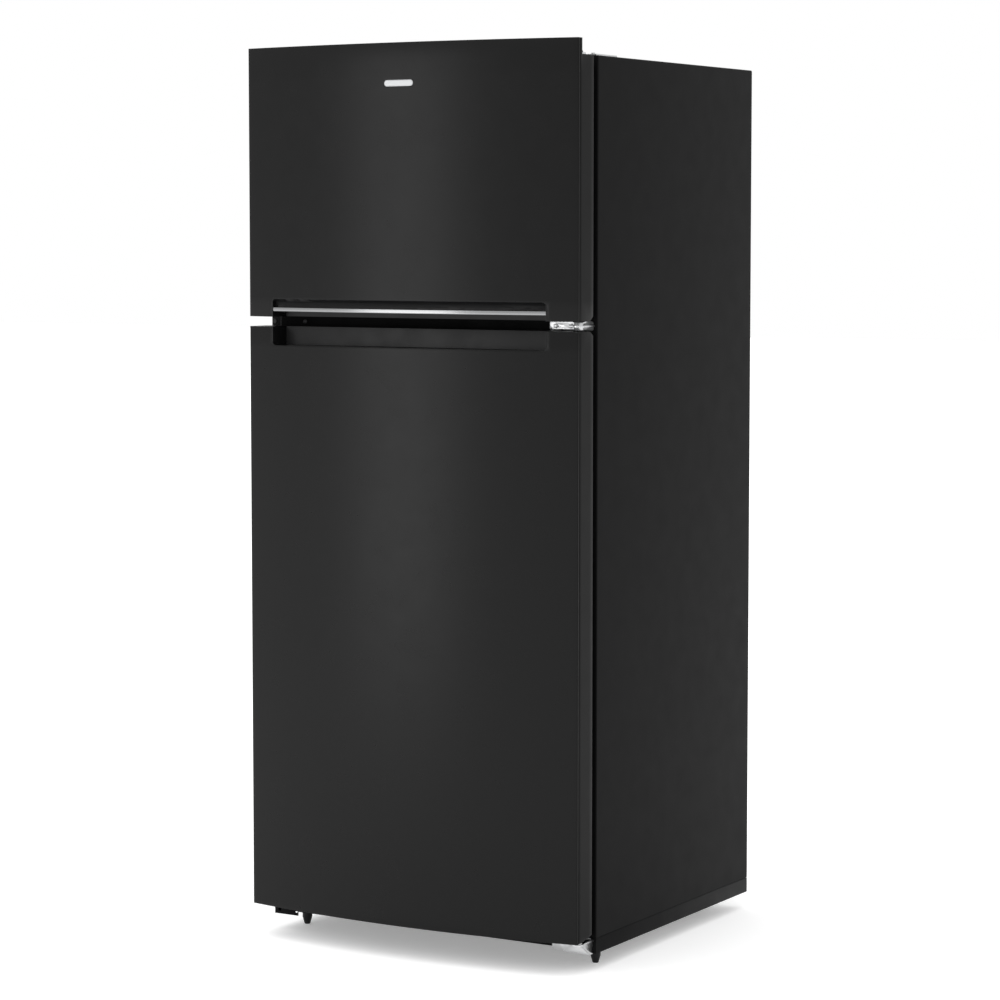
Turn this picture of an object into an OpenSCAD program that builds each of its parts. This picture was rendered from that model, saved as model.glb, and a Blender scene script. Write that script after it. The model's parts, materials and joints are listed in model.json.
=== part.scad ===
// Top freezer refrigerator: two crowned doors with pocket handles on a foamed steel cabinet.
// Millimetres. Origin on the floor under the middle of the whole body, doors towards -Y, +Z up.
// The doors hinge on the +X side and open with a positive turn about +Z.

/* [Overall] */
// Width of the cabinet and of both doors
overall_w = 705; // [680:5:760]
// Depth of the cabinet alone, from its front flange to its back
cabinet_d = 622; // [600:2:680]
// Height of the cabinet's top above the floor
cabinet_top = 1650; // [1620:5:1700]
// Height of the cabinet's lower edge above the floor
cabinet_bottom = 61; // [58:1:64]
// Height of the base rails' lower edge above the floor
rail_bottom = 32; // [28:1:34]

/* [Doors] */
// How far the doors' fronts bulge at the middle
crown = 33; // [25:1:40]
// Thickness of a door at its sides
door_side = 57; // [54:1:62]
// Space between a door's back and the cabinet, which the gasket fills
gasket_gap = 16; // [14:1:18]
// Height of the fridge door's lower edge
fridge_bottom = 62; // [62:1:64]
// Height of the fridge door's upper edge
fridge_top = 1161; // [1156:1:1162]
// Height of the freezer door's lower edge
freezer_bottom = 1179.5; // [1178:0.5:1181]
// Height of the lip along the freezer door's top
lip_top = 1678; // [1670:1:1684]
// Thickness of that lip at the door's sides
lip_t = 15; // [12:1:16]

/* [Handles] */
// Width of the pocket handles
pocket_w = 592; // [560:2:600]
// Depth of the pockets behind the doors' side edges
pocket_d = 35; // [28:1:38]
// Height of the fridge door's pocket
pocket_h = 34.5; // [30:0.5:36]
// Height of the freezer door's pocket, trim and dish together
dish_h = 37; // [34:0.5:38]
// Height of the bright trim
trim_h = 7; // [5:0.5:8]

/* [Inside] */
// Inner half width of the fridge compartment
fridge_hw = 306; // [300:1:308]
// Inner half width of the freezer compartment
freezer_hw = 302; // [296:1:304]
// Height of the fridge compartment's floor
fridge_floor = 104; // [100:1:110]
// Height of the fridge compartment's ceiling
fridge_ceiling = 1129; // [1126:1:1130]
// Height of the freezer compartment's floor
freezer_floor = 1197; // [1196:1:1199]
// Height of the freezer compartment's ceiling
freezer_ceiling = 1598; // [1590:1:1600]
// Height of the step over the machine compartment
hump_top = 300; // [290:1:310]

/* [Thickness] */
// Painted steel sheet
sheet_t = 1.2; // [0.8:0.1:1.5]
// Plastic liners
liner_t = 2; // [1.5:0.5:2.5]
// Walls of bins and drawers
bin_t = 2.5; // [2:0.5:3]

/* [Hidden] */
$fn = 96;
eps = 1;                                   // how far a cutter runs past a face
hw = overall_w / 2;
overall_d = crown + door_side + gasket_gap + cabinet_d;
y_crown = -overall_d / 2;                  // foremost line of the doors
y_chord = y_crown + crown;                 // side edges of the doors' fronts
y_door = y_chord + door_side;              // back of the doors
y_front = y_door + gasket_gap;             // front of the cabinet
y_back = overall_d / 2;                    // back of the cabinet
crown_r = (hw * hw + crown * crown) / (2 * crown);
door_top = cabinet_top - 1;                // the freezer door's top, behind its lip
y_foam = y_door - liner_t;                 // where a door's foam and caps end

pin_r = 4;                                 // hinge pins
run_gap = 0.05;                            // running clearance round a pin
pin_x = hw - 15;
pin_y = y_chord + 30;
gap_mid = (fridge_top + freezer_bottom) / 2;

flange_w = 20;                             // folded front edge of the cabinet
y_liner_back = y_back - 47;                // inner back wall of both compartments
hump_y = 150;                              // front of the step over the machinery
machine_y = hump_y + 45;                   // front wall of the machine compartment
machine_top = hump_top - 44;
tray_z = 40;                               // top of the tray that the compressor stands on

cap_h = 20;                                // plastic end caps of the doors
handle_cap_h = 50;                         // end caps that hold the pocket handles
trim_bottom = freezer_bottom + 10.5;
dish_top = freezer_bottom + dish_h;
dish_r = 17;                               // round of the dish above the trim
dish_d = 11;                               // its depth
finger_d = 14;                             // wall in front of the fingers
pocket_hw = pocket_w / 2;

gasket_hw = pin_x - 3;                     // outer half width of the gaskets
gasket_w = 20;
gasket_clear = 0.3;
rib_w = 24;                                // ribs of the door liners that hold the bins
fridge_rib_hw = 288;
fridge_rib_d = 70;
freezer_rib_hw = 284;
freezer_rib_d = 50;
fridge_bin_hw = fridge_rib_hw - rib_w - 2;
freezer_bin_hw = freezer_rib_hw - rib_w - 2;
fridge_bin_y = y_door + 115;               // how far the bins reach into the compartments
freezer_bin_y = y_door + 100;
fridge_bins = [[150, 112], [420, 86], [680, 86]];      // floor height and depth of each bin
freezer_bins = [[1240, 78], [1430, 70]];

shelf_y = -140;                            // front edge of the fridge shelves
shelf_zs = [545, 800];
shelf_h = 20;
glass_t = 4;
crisper_y = -145;                          // front of the closed crisper drawers
crisper_top = 284;
control_y = -190;                          // front of the control box
control_z = 1085;
knob_z = 1106;
knob_xs = [-85, 5];
switch_x = 110;
switch_z = 1100;
lamp_y = -70;

evap_cover_y = y_liner_back - 59;
fan_z = 1490;
foot_x = hw - 34;
foot_y = y_front + 60;
roller_x = hw - 77;
roller_y = y_back - 72;
roller_r = 19;
compressor_x = 190;
compressor_y = (machine_y + y_back) / 2;
cond_fan_x = 20;
cond_fan_z = 140;
inlet_x = 270;
inlet_z = 92;

// Screws: [x, y, z, axis], where axis is the way the head points
top_screws = [[288, -236, cabinet_top, "z"], [330, -236, cabinet_top, "z"], [309, -192, cabinet_top, "z"]];
centre_screws = [[269, y_front, gap_mid - 1, "y"], [300, y_front, gap_mid - 1, "y"]];
bottom_screws = [[276, y_front, 50, "y"], [332, y_front, 42, "y"]];
cover_screws = [for (x = [-325, 0, 325]) [x, y_back, 247, "b"]];
cover_head_t = 1.5;                        // sunk heads of the machine cover's screws
bracket_t = 3;
screw_r = 2.5;

paint = "#262729";
dark = "#141415";
liner_white = "#eef0f2";
clear_tint = "#dfe8ec";
steel = "#c9cbcd";
copper = "#b06a3c";

// ---------------------------------------------------------------- shared shapes

// A box between two opposite corners
module span(a, b) translate(a) cube(b - a);

// The same box twice, mirrored about the middle of the body
module both_sides() {
    children();
    mirror([1, 0, 0]) children();
}

// A rectangle with round corners, between two opposite corners
module round_rect(a, b, r) {
    translate([a[0] + r, a[1]]) square([b[0] - a[0] - 2 * r, b[1] - a[1]]);
    translate([a[0], a[1] + r]) square([b[0] - a[0], b[1] - a[1] - 2 * r]);
    for (x = [a[0] + r, b[0] - r], y = [a[1] + r, b[1] - r]) translate([x, y]) circle(r);
}

// Extrude a front-view outline (x, z) along Y
module along_y(y0, y1) translate([0, y1, 0]) rotate([90, 0, 0]) linear_extrude(y1 - y0) children();

// Extrude a side-view outline (y, z) along X
module along_x(x0, x1) translate([x0, 0, 0]) rotate([90, 0, 90]) linear_extrude(x1 - x0) children();

// Extrude a plan-view outline (x, y) up
module along_z(z0, z1) translate([0, 0, z0]) linear_extrude(z1 - z0) children();

module rod_x(x0, x1, r) translate([x0, 0, 0]) rotate([0, 90, 0]) cylinder(h = x1 - x0, r = r);
module rod_y(y0, y1, r) translate([0, y1, 0]) rotate([90, 0, 0]) cylinder(h = y1 - y0, r = r);
module rod_z(z0, z1, r) translate([0, 0, z0]) cylinder(h = z1 - z0, r = r);

// A round bar through a list of points, with ball corners
module pipe(points, r) {
    for (i = [1 : len(points) - 1]) {
        step = points[i] - points[i - 1];
        length = norm(step);
        turn = atan2(step[1], step[0]);
        tilt = acos(step[2] / length);
        translate(points[i - 1]) rotate([0, tilt, turn]) cylinder(h = length, r = r, $fn = 24);
    }
    for (i = [1 : len(points) - 2]) translate(points[i]) sphere(r + 0.5, $fn = 24);
}

// Plan of a door: a crowned front on straight sides, drawn in by a margin
module door_plan(y_end, margin = 0) intersection() {
    translate([0, y_crown + crown_r]) circle(crown_r - margin, $fn = 720);
    translate([margin - hw, y_crown - eps]) square([2 * (hw - margin), y_end - y_crown + eps]);
}

// A layer that follows the crowned front between two depths
module front_layer(near, far, z0, z1, half_w) intersection() {
    along_z(z0, z1) difference() {
        door_plan(y_chord + 60, near);
        translate([0, y_crown + crown_r]) circle(crown_r - far, $fn = 720);
    }
    span([-half_w, y_crown - eps, z0 - eps], [half_w, y_door, z1 + eps]);
}

// Round cutter for a hinge pin's bore
module pin_bore(z0, z1) translate([pin_x, pin_y, 0]) rod_z(z0, z1, pin_r + run_gap);

// Clearance cut at a door's rear hinge corner: size along Y and Z, dir is 1 above z, -1 below it
module corner_cut(z, size_y, size_z, dir) along_x(hw - 26, hw + eps)
    polygon([[y_door + eps, z - dir * eps], [y_door - size_y, z - dir * eps],
             [y_door - size_y, z], [y_door, z + dir * size_z], [y_door + eps, z + dir * size_z]]);

// ---------------------------------------------------------------- cavities and screw holes

module freezer_cavity(grow, y0) along_y(y0, y_liner_back + grow)
    round_rect([-freezer_hw - grow, freezer_floor - grow],
               [freezer_hw + grow, freezer_ceiling + grow], 18 + grow);

module fridge_cavity(grow, y0) difference() {
    along_y(y0, y_liner_back + grow)
        round_rect([-fridge_hw - grow, fridge_floor - grow],
                   [fridge_hw + grow, fridge_ceiling + grow], 18 + grow);
    span([-hw, hump_y + grow, fridge_floor - 10], [hw, y_back, hump_top - grow]);
}

// Shanks of the hinge and cover screws, with the gap that their holes have
module shanks(list, gap, length) for (s = list) translate([s[0], s[1], s[2]]) {
    if (s[3] == "z") rod_z(-length, bracket_t, screw_r + gap);
    if (s[3] == "y") rod_y(-bracket_t, length, screw_r + gap);
    if (s[3] == "b") rod_y(-length, -cover_head_t, screw_r + gap);
}

module screw_holes() {
    shanks(top_screws, 0.1, 15);
    shanks(centre_screws, 0.1, 15);
    shanks(bottom_screws, 0.1, 15);
    shanks(cover_screws, 0.1, 15);
}

// Plugged holes for hanging the doors on the other side: [x, y, z, axis]
plug_spots = concat([for (s = top_screws) [-s[0], s[1], s[2], "z"]],
                    [[-345, y_front, gap_mid - 1.5, "y"], [-275.5, y_front, gap_mid - 1.5, "y"]]);

module plugs(gap, head) for (p = plug_spots) translate([p[0], p[1], p[2]]) {
    if (p[3] == "z") {
        rod_z(-8, 0, 3 + gap);
        if (head) rod_z(0, 1.5, 5);
    } else {
        rod_y(0, 8, 3 + gap);
        if (head) rod_y(-1.5, 0, 4.5);
    }
}

// ---------------------------------------------------------------- cabinet

module cabinet_shell() color(paint) difference() {
    along_y(y_front, y_back) union() {
        round_rect([-hw, cabinet_top - 40], [hw, cabinet_top], 3);
        translate([-hw, cabinet_bottom]) square([2 * hw, cabinet_top - 20 - cabinet_bottom]);
    }
    span([sheet_t - hw, y_front + sheet_t, cabinet_bottom - eps],
         [hw - sheet_t, y_back + eps, cabinet_top - sheet_t]);
    span([flange_w - hw, y_front - eps, cabinet_bottom - eps],
         [hw - flange_w, y_front + 2 * sheet_t, cabinet_top - flange_w]);
    screw_holes();
    plugs(0.1, false);
}

// Tabs behind the machine cover that take its screws
module cover_tabs() for (s = cover_screws) {
    span([s[0] - 12, y_back - 3.2, machine_top - 16], [s[0] + 12, y_back - 2, machine_top + 6]);
    span([s[0] - 12, y_back - 3.2, machine_top], [s[0] + 12, y_back - 1, machine_top + 6]);
}

module rear_panel() color("#3a3b3d") difference() {
    union() {
        span([sheet_t - hw, y_back - sheet_t, machine_top], [hw - sheet_t, y_back, cabinet_top - sheet_t]);
        cover_tabs();
    }
    for (x = [-250, 0, 250]) along_y(y_back - sheet_t / 2, y_back + eps)
        round_rect([x - 70, machine_top + 90], [x + 70, cabinet_top - 90], 20);
    screw_holes();
}

module cabinet_foam() color("#e8dcae") difference() {
    span([sheet_t - hw, y_front + liner_t, cabinet_bottom + sheet_t],
         [hw - sheet_t, y_back - sheet_t, cabinet_top - sheet_t]);
    freezer_cavity(liner_t, y_front - eps);
    fridge_cavity(liner_t, y_front - eps);
    span([-hw, machine_y, 0], [hw, y_back, machine_top]);
    span([-hw, y_front, 0], [hw, y_front + 8, cabinet_bottom + 20]);
    cover_tabs();
    screw_holes();
    plugs(0.1, false);
}

// Liner walls: a front flange and the cavity, with ledges that hold the shelves
module freezer_liner() color(liner_white) {
    difference() {
        union() {
            span([flange_w - hw, y_front, freezer_floor - 4],
                 [hw - flange_w, y_front + liner_t, cabinet_top - flange_w]);
            freezer_cavity(liner_t, y_front);
        }
        freezer_cavity(0, y_front - eps);
    }
    both_sides() span([freezer_hw - 7, -140, 1386], [freezer_hw, 240, 1390]);
}

module fridge_liner() color(liner_white) {
    difference() {
        union() {
            span([flange_w - hw, y_front, cabinet_bottom + 20],
                 [hw - flange_w, y_front + liner_t, fridge_ceiling + 4]);
            fridge_cavity(liner_t, y_front);
        }
        fridge_cavity(0, y_front - eps);
    }
    for (z = shelf_zs) both_sides() span([fridge_hw - 8, shelf_y + 10, z - 5], [fridge_hw, 290, z]);
    both_sides() span([fridge_hw - 4, crisper_y + 8, hump_top - 9], [fridge_hw, hump_y, hump_top - 5]);
}

// Steel strip across the front between the two compartments
module mullion_rail() color(dark) difference() {
    span([flange_w - hw, y_front, fridge_ceiling + 4],
         [hw - flange_w, y_front + liner_t, freezer_floor - 4]);
    screw_holes();
    plugs(0.1, false);
}

module hinge_hole_plugs() color(dark) plugs(0, true);

module base_frame() color(paint) difference() {
    union() {
        // side rails, folded in at the top so that a thin seam shows under the cabinet
        both_sides() {
            span([hw - 2, y_front, rail_bottom], [hw, y_back, cabinet_bottom - 1]);
            span([hw - 26, y_front, cabinet_bottom - 2], [hw - 1, y_back - 2, cabinet_bottom]);
            span([hw - 12, y_front, rail_bottom], [hw - 1, y_back, rail_bottom + 1.5]);
        }
        // deck under the foam
        span([sheet_t - hw, y_front + 8, cabinet_bottom - 0.1],
             [hw - sheet_t, machine_y, cabinet_bottom + sheet_t]);
        // front cross member, and the wall that closes the foam behind the fridge door's lower edge
        span([1 - hw, y_front, 36], [hw - 1, y_front + 2, cabinet_bottom]);
        span([1 - hw, y_front, 36], [hw - 1, y_front + 26, 38]);
        span([sheet_t - hw, y_front + sheet_t, cabinet_bottom - 0.1],
             [hw - sheet_t, y_front + 8, cabinet_bottom + 20]);
        span([flange_w - hw, y_front, cabinet_bottom - 0.1],
             [hw - flange_w, y_front + 8, cabinet_bottom + 20]);
        // ear behind the lower hinge, and a tab with two open holes for a hinge on the left
        span([hw - 40, y_front, 34], [hw - 2, y_front + 2, cabinet_bottom - 1]);
        span([1 - hw, y_front - 2, 29], [54 - hw, y_front, cabinet_bottom - 2]);
        // nut plates of the leveling feet
        both_sides() span([foot_x - 18, foot_y - 22, 40], [hw - 1, foot_y + 22, 48]);
        // tray of the machine compartment and its front step
        span([1 - hw, machine_y, tray_z - 2], [hw - 1, y_back - 5, tray_z]);
        span([1 - hw, machine_y - 2, tray_z - 2], [hw - 1, machine_y, cabinet_bottom]);
        // forks of the rear rollers
        both_sides() for (side = [-14, 11.5]) along_x(roller_x + side, roller_x + side + 2.5)
            difference() {
                polygon([[roller_y - 24, tray_z], [roller_y + 24, tray_z],
                         [roller_y + 9, 11], [roller_y - 9, 11]]);
                translate([roller_y, roller_r]) circle(3.05);
            }
    }
    for (x = [12, 50]) translate([x - hw, 0, 37.5]) rod_y(y_front - 3, y_front + 3, 3.5);
    both_sides() {
        translate([foot_x, foot_y, 0]) rod_z(38, 50, 5.05);
        span([roller_x - 11.5, roller_y - 24, 30], [roller_x + 11.5, roller_y + 24, tray_z + eps]);
    }
    for (x = [-75, 75], y = [-45, 45]) translate([compressor_x + x, compressor_y + y, 0]) rod_z(30, 50, 4);
    screw_holes();
}

// ---------------------------------------------------------------- hinges and fasteners

// Top hinge: its neck goes back and in, clear of the lip's end as the freezer door opens
module top_hinge() color(steel) difference() {
    union() {
        along_z(cabinet_top, cabinet_top + bracket_t) union() {
            translate([pin_x, pin_y]) circle(12);
            polygon([[pin_x + 5.5, pin_y + 9.5], [pin_x - 38, pin_y + 35], [pin_x - 38, pin_y + 60],
                     [pin_x - 62, pin_y + 60], [pin_x - 62, pin_y + 22], [pin_x - 5.5, pin_y - 9.5]]);
            translate([272, y_front + 4]) square([74, 78]);
            translate([272, y_front + 1]) square([28, 10]);
        }
        translate([pin_x, pin_y, 0]) rod_z(door_top - 17, cabinet_top + bracket_t, pin_r);
        translate([pin_x, pin_y, 0]) rod_z(cabinet_top, cabinet_top + 6, 6);
    }
    screw_holes();
}

module centre_hinge() color(steel) difference() {
    union() {
        along_y(y_front - bracket_t, y_front)
            round_rect([hw - 96, fridge_top + 1], [hw - 8, freezer_bottom - 1.5], 3);
        along_z(gap_mid - 2, gap_mid + 1.5) union() {
            translate([pin_x, pin_y]) circle(11);
            translate([pin_x - 20, pin_y]) square([29, y_front - pin_y]);
            translate([pin_x - 9, pin_y - 8]) square([18, 20]);
        }
        translate([pin_x, pin_y, 0]) {
            rod_z(fridge_top - 17, freezer_bottom + 17, pin_r);
            rod_z(fridge_top + 0.5, freezer_bottom - 0.5, 8);
        }
    }
    // stiffening groove along the plate
    span([hw - 78, y_front - bracket_t - eps, gap_mid + 2.6],
         [hw - 30, y_front - bracket_t + 1.4, gap_mid + 4.4]);
    screw_holes();
}

module bottom_hinge() color(steel) difference() {
    union() {
        along_y(y_front - bracket_t, y_front) difference() {
            translate([hw - 90, 29]) square([80, 31]);
            translate([hw - 91, 28]) square([26, 3.5]);
            translate([hw - 91, 56]) square([6, 6]);
            translate([hw - 66, 57]) square([5, 4]);
        }
        along_z(54, 57) union() {
            translate([pin_x, pin_y]) circle(12);
            translate([pin_x - 22, pin_y]) square([32, y_front - pin_y]);
        }
        along_x(pin_x + 5, pin_x + 8)
            polygon([[pin_y, 54], [y_front, 54], [y_front, 31], [y_front - 8, 31]]);
        translate([pin_x, pin_y, 0]) {
            rod_z(54, fridge_bottom + 17, pin_r);
            rod_z(56, fridge_bottom - 0.5, 8);
        }
    }
    screw_holes();
}

// Hex-head screws of the hinges and of the machine cover, as separate solids
module screws() color(steel) {
    shanks(concat(top_screws, centre_screws, bottom_screws, cover_screws), 0, 14);
    for (s = concat(top_screws, centre_screws, bottom_screws, cover_screws)) translate([s[0], s[1], s[2]]) {
        if (s[3] == "z") rod_z(bracket_t, bracket_t + 3, 5);
        if (s[3] == "y") rod_y(-bracket_t - 2.5, -bracket_t, 4.5);
        if (s[3] == "b") rod_y(-cover_head_t, 0, 5);
    }
}

module rear_axles() color(steel) both_sides() translate([0, roller_y, roller_r])
    rod_x(roller_x - 16, roller_x + 16, 3);

// ---------------------------------------------------------------- machine compartment

module compressor() color(dark) translate([compressor_x, compressor_y, 0]) {
    // shell with round shoulders, on a foot plate
    translate([0, 0, 56]) rotate_extrude() {
        square([34, 150]);
        translate([0, 28]) square([62, 94]);
        translate([34, 28]) circle(28);
        translate([34, 122]) circle(28);
    }
    difference() {
        span([-90, -58, 52], [90, 58, 56]);
        for (x = [-75, 75], y = [-45, 45]) translate([x, y, 0]) rod_z(50, 60, 5.5);
    }
    // terminal box
    span([-84, -20, 110], [-56, 20, 160]);
}

// Rubber grommets with their studs
module compressor_mounts() color("#202022")
    for (x = [-75, 75], y = [-45, 45]) translate([compressor_x + x, compressor_y + y, 0]) {
        rod_z(tray_z, 52, 11);
        rod_z(52, 58, 5.4);
        rod_z(58, 62, 9);
        rod_z(tray_z - 6, tray_z, 3.9);
    }

cond_rows = 6;
cond_pitch = 24;
cond_x = [-300, -120];
cond_z = 84;
cond_y = [compressor_y - 42, compressor_y + 42];

// Wire-on-tube condenser: stacked runs joined by round bends
module condenser_coil() color("#1b1b1c") {
    for (i = [0 : cond_rows - 1]) {
        z = cond_z + i * cond_pitch;
        for (y = cond_y) translate([0, y, z]) rod_x(cond_x[0], cond_x[1], 3.2);
        translate([cond_x[1], compressor_y, z]) rotate([0, 0, -90])
            rotate_extrude(angle = 180) translate([42, 0]) circle(3.2, $fn = 24);
        if (i < cond_rows - 1) translate([cond_x[0], cond_y[i % 2], z + cond_pitch / 2]) rotate([90, 90, 0])
            rotate([0, 0, 180]) rotate_extrude(angle = 180)
                translate([cond_pitch / 2, 0]) circle(3.2, $fn = 24);
    }
    for (i = [0 : 10], y = cond_y) translate([-292 + i * 16, y, 0])
        span([0, -7, cond_z - 10], [0.8, 7, cond_z + (cond_rows - 1) * cond_pitch + 10]);
    // end plates that stand in the drain pan
    for (x = [cond_x[0] + 1, cond_x[1] - 2])
        span([x, cond_y[0] - 8, tray_z + 2],
             [x + 1, cond_y[1] + 8, cond_z + (cond_rows - 1) * cond_pitch + 8]);
}

module condenser_fan_motor() color(dark) {
    // shroud across the compartment, with the motor held on three arms
    difference() {
        span([cond_fan_x - 76, machine_y + 4, tray_z], [cond_fan_x - 73, y_back - 12, 236]);
        translate([0, compressor_y, cond_fan_z]) rod_x(cond_fan_x - 80, cond_fan_x - 70, 66);
    }
    translate([0, compressor_y, cond_fan_z]) {
        rod_x(cond_fan_x - 40, cond_fan_x, 26);
        for (a = [0, 120, 240]) rotate([a + 30, 0, 0]) {
            span([cond_fan_x - 73, -4, 68], [cond_fan_x - 20, 4, 72]);
            span([cond_fan_x - 24, -4, 20], [cond_fan_x - 20, 4, 72]);
        }
        rod_x(cond_fan_x - 54.5, cond_fan_x - 40, 3);
    }
}

// A hub with flat pitched blades, its axis along +X, at the origin
module fan_blades(r, depth, hub_r, count) {
    difference() {
        union() {
            rod_x(0, depth, hub_r);
            intersection() {
                for (i = [0 : count - 1]) rotate([i * 360 / count, 0, 0])
                    translate([depth / 2, 0, 0]) rotate([0, 0, 28])
                        span([-0.8, -14, hub_r - 3], [0.8, 14, r + 5]);
                rod_x(0, depth, r);
            }
        }
        rod_x(-eps, depth - 3, 3 + run_gap);
    }
}

module condenser_fan_blade() color("#2c2c2e") translate([cond_fan_x - 42, compressor_y, cond_fan_z])
    mirror([1, 0, 0]) fan_blades(60, 16, 14, 5);

module drain_pan() color("#2a2a2c") difference() {
    span([-305, machine_y + 10, tray_z], [-74, y_back - 14, 66]);
    span([-303, machine_y + 12, tray_z + 2], [-76, y_back - 16, 70]);
}

module machine_cover() color("#303133") difference() {
    union() {
        span([3 - hw, y_back - 2, tray_z + 4], [hw - 3, y_back, machine_top]);
        both_sides() span([hw - 5, y_back - 12, 64], [hw - 3, y_back, machine_top]);
    }
    for (x = [-290, -190, -90, 40, 140], i = [0 : 8])
        along_y(y_back - 3, y_back + eps) round_rect([x, 76 + i * 17], [x + 80, 83 + i * 17], 3.4);
    for (i = [3 : 8]) along_y(y_back - 3, y_back + eps)
        round_rect([240, 76 + i * 17], [320, 83 + i * 17], 3.4);
    span([inlet_x - 26, y_back - 3, inlet_z - 16], [inlet_x + 26, y_back + eps, inlet_z + 16]);
    for (s = cover_screws) translate([s[0], 0, s[2]]) {
        rod_y(y_back - 3, y_back, screw_r + 0.1);
        rod_y(y_back - cover_head_t, y_back + eps, 5.2);
    }
}

// Mains inlet: a recessed housing with three flat pins
module power_inlet() color(dark) {
    difference() {
        span([inlet_x - 25.8, y_back - 26, inlet_z - 15.8], [inlet_x + 25.8, y_back - 0.5, inlet_z + 15.8]);
        along_y(y_back - 18, y_back + eps)
            polygon([[inlet_x - 12, inlet_z - 8], [inlet_x + 12, inlet_z - 8], [inlet_x + 12, inlet_z + 5],
                     [inlet_x + 8, inlet_z + 9], [inlet_x - 8, inlet_z + 9], [inlet_x - 12, inlet_z + 5]]);
    }
    for (p = [[-7, 0], [7, 0], [0, 3]]) translate([inlet_x + p[0], 0, inlet_z + p[1]])
        span([-1, y_back - 19, -2], [1, y_back - 5, 2]);
}

module filter_dryer() color(copper) translate([96, compressor_y + 30, 0]) {
    rod_z(120, 200, 9);
    rod_z(108, 214, 3.4);
}

// Discharge line to the condenser, and the dryer's and suction lines up into the foam
module refrigerant_lines() color(copper) {
    line_z = machine_top - 13;
    shell_top = 206;
    start = [compressor_x - 26, compressor_y - 12, shell_top];
    pipe([start, [start[0], start[1], line_z], [start[0], cond_y[1], line_z],
          [cond_x[0] - 8, cond_y[1], line_z],
          [cond_x[0] - 8, cond_y[1], cond_z + (cond_rows - 1) * cond_pitch],
          [cond_x[0], cond_y[1], cond_z + (cond_rows - 1) * cond_pitch]], 3.2);
    translate([96, compressor_y + 30, 0]) rod_z(214, machine_top, 2.4);
    pipe([[compressor_x + 29, compressor_y, shell_top], [compressor_x + 29, compressor_y, line_z],
          [compressor_x + 90, compressor_y, line_z], [compressor_x + 90, compressor_y, machine_top]], 4);
}

// ---------------------------------------------------------------- freezer inside

module evaporator_coil() color("#b9bcbe") {
    y0 = evap_cover_y + 12;
    rows = 5;
    pitch = 30;
    z0 = 1222;
    for (i = [0 : rows - 1], j = [0, 1]) {
        z = z0 + i * pitch;
        translate([0, y0 + 5 + j * 26, z]) rod_x(-248, 248, 4);
        if (j == 0) translate([i % 2 == 0 ? 248 : -248, y0 + 18, z]) rotate([0, 0, i % 2 == 0 ? -90 : 90])
            rotate_extrude(angle = 180) translate([13, 0]) circle(4, $fn = 24);
        else if (i < rows - 1) translate([i % 2 == 0 ? -248 : 248, y0 + 31, z + pitch / 2])
            rotate([90, 0, i % 2 == 0 ? 180 : 0]) rotate([0, 0, -90])
            rotate_extrude(angle = 180) translate([pitch / 2, 0]) circle(4, $fn = 24);
    }
    for (i = [0 : 22]) translate([-231 + i * 21, 0, 0])
        span([-0.4, y0 - 4, z0 - 12], [0.4, y0 + 40, z0 + (rows - 1) * pitch + 12]);
}

module evaporator_cover() color(liner_white) difference() {
    union() {
        along_y(evap_cover_y, evap_cover_y + 3)
            round_rect([1 - freezer_hw, freezer_floor + 1], [freezer_hw - 1, freezer_ceiling - 1], 17);
        both_sides() span([freezer_hw - 4, evap_cover_y, freezer_floor + 22],
                          [freezer_hw - 1, y_liner_back, freezer_ceiling - 22]);
        // raised ring round the fan's grille
        translate([0, 0, fan_z]) rod_y(evap_cover_y - 4, evap_cover_y, 64);
    }
    // grille rings, kept together by four spokes
    difference() {
        translate([0, 0, fan_z]) rod_y(evap_cover_y - 3.9, evap_cover_y + 4, 56);
        for (r = [14, 28, 42]) difference() {
            translate([0, 0, fan_z]) rod_y(evap_cover_y - 5, evap_cover_y - 1, r + 2);
            translate([0, 0, fan_z]) rod_y(evap_cover_y - 6, evap_cover_y, r - 2);
        }
        for (a = [0, 90]) translate([0, 0, fan_z]) rotate([0, a, 0])
            span([-60, evap_cover_y - 5, -2], [60, evap_cover_y - 1, 2]);
    }
    translate([0, 0, fan_z]) rod_y(evap_cover_y - 5, evap_cover_y - 3, 50);
    for (i = [0 : 21]) along_y(evap_cover_y - eps, evap_cover_y + 4)
        round_rect([-262 + i * 24, freezer_floor + 14], [-252 + i * 24, freezer_floor + 44], 4.5);
}

module evaporator_fan_motor() color("#55585b") translate([0, 0, fan_z]) {
    rod_y(evap_cover_y + 30, y_liner_back, 24);
    rod_y(evap_cover_y + 15.5, evap_cover_y + 30, 3);
    span([-70, y_liner_back - 4, -8], [70, y_liner_back, 8]);
}

module evaporator_fan_blade() color("#dcdfe1") translate([0, evap_cover_y + 27, fan_z])
    rotate([0, 0, -90]) fan_blades(48, 15, 12, 4);

// Shelf cut from sheet: bars between long slots, with an upturned edge at the back
module freezer_shelf() color("#e6e8ea") {
    along_z(1390, 1394) difference() {
        translate([-300, -136]) square([600, 372]);
        for (x = [-288 : 16 : 280], y = [-124, -6, 112]) translate([x, y]) square([12, 112]);
    }
    span([-300, -136, 1390], [300, -133, 1400]);
    span([-300, 233, 1390], [300, 236, 1410]);
}

// ---------------------------------------------------------------- fridge inside

module fridge_shelf(z) color(liner_white) difference() {
    along_z(z, z + shelf_h) round_rect([1 - fridge_hw, shelf_y], [fridge_hw - 1, 296], 8);
    // window for the pane, with a step that the glass sits on
    span([22 - fridge_hw, shelf_y + 22, z - eps], [fridge_hw - 22, 278, z + shelf_h + eps]);
    span([14 - fridge_hw, shelf_y + 14, z + shelf_h - 1 - glass_t],
         [fridge_hw - 14, 286, z + shelf_h + eps]);
    // the rails are lower than the front edge
    span([12 - fridge_hw, shelf_y + 12, z - eps], [fridge_hw - 12, 290, z + 8]);
}

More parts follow.
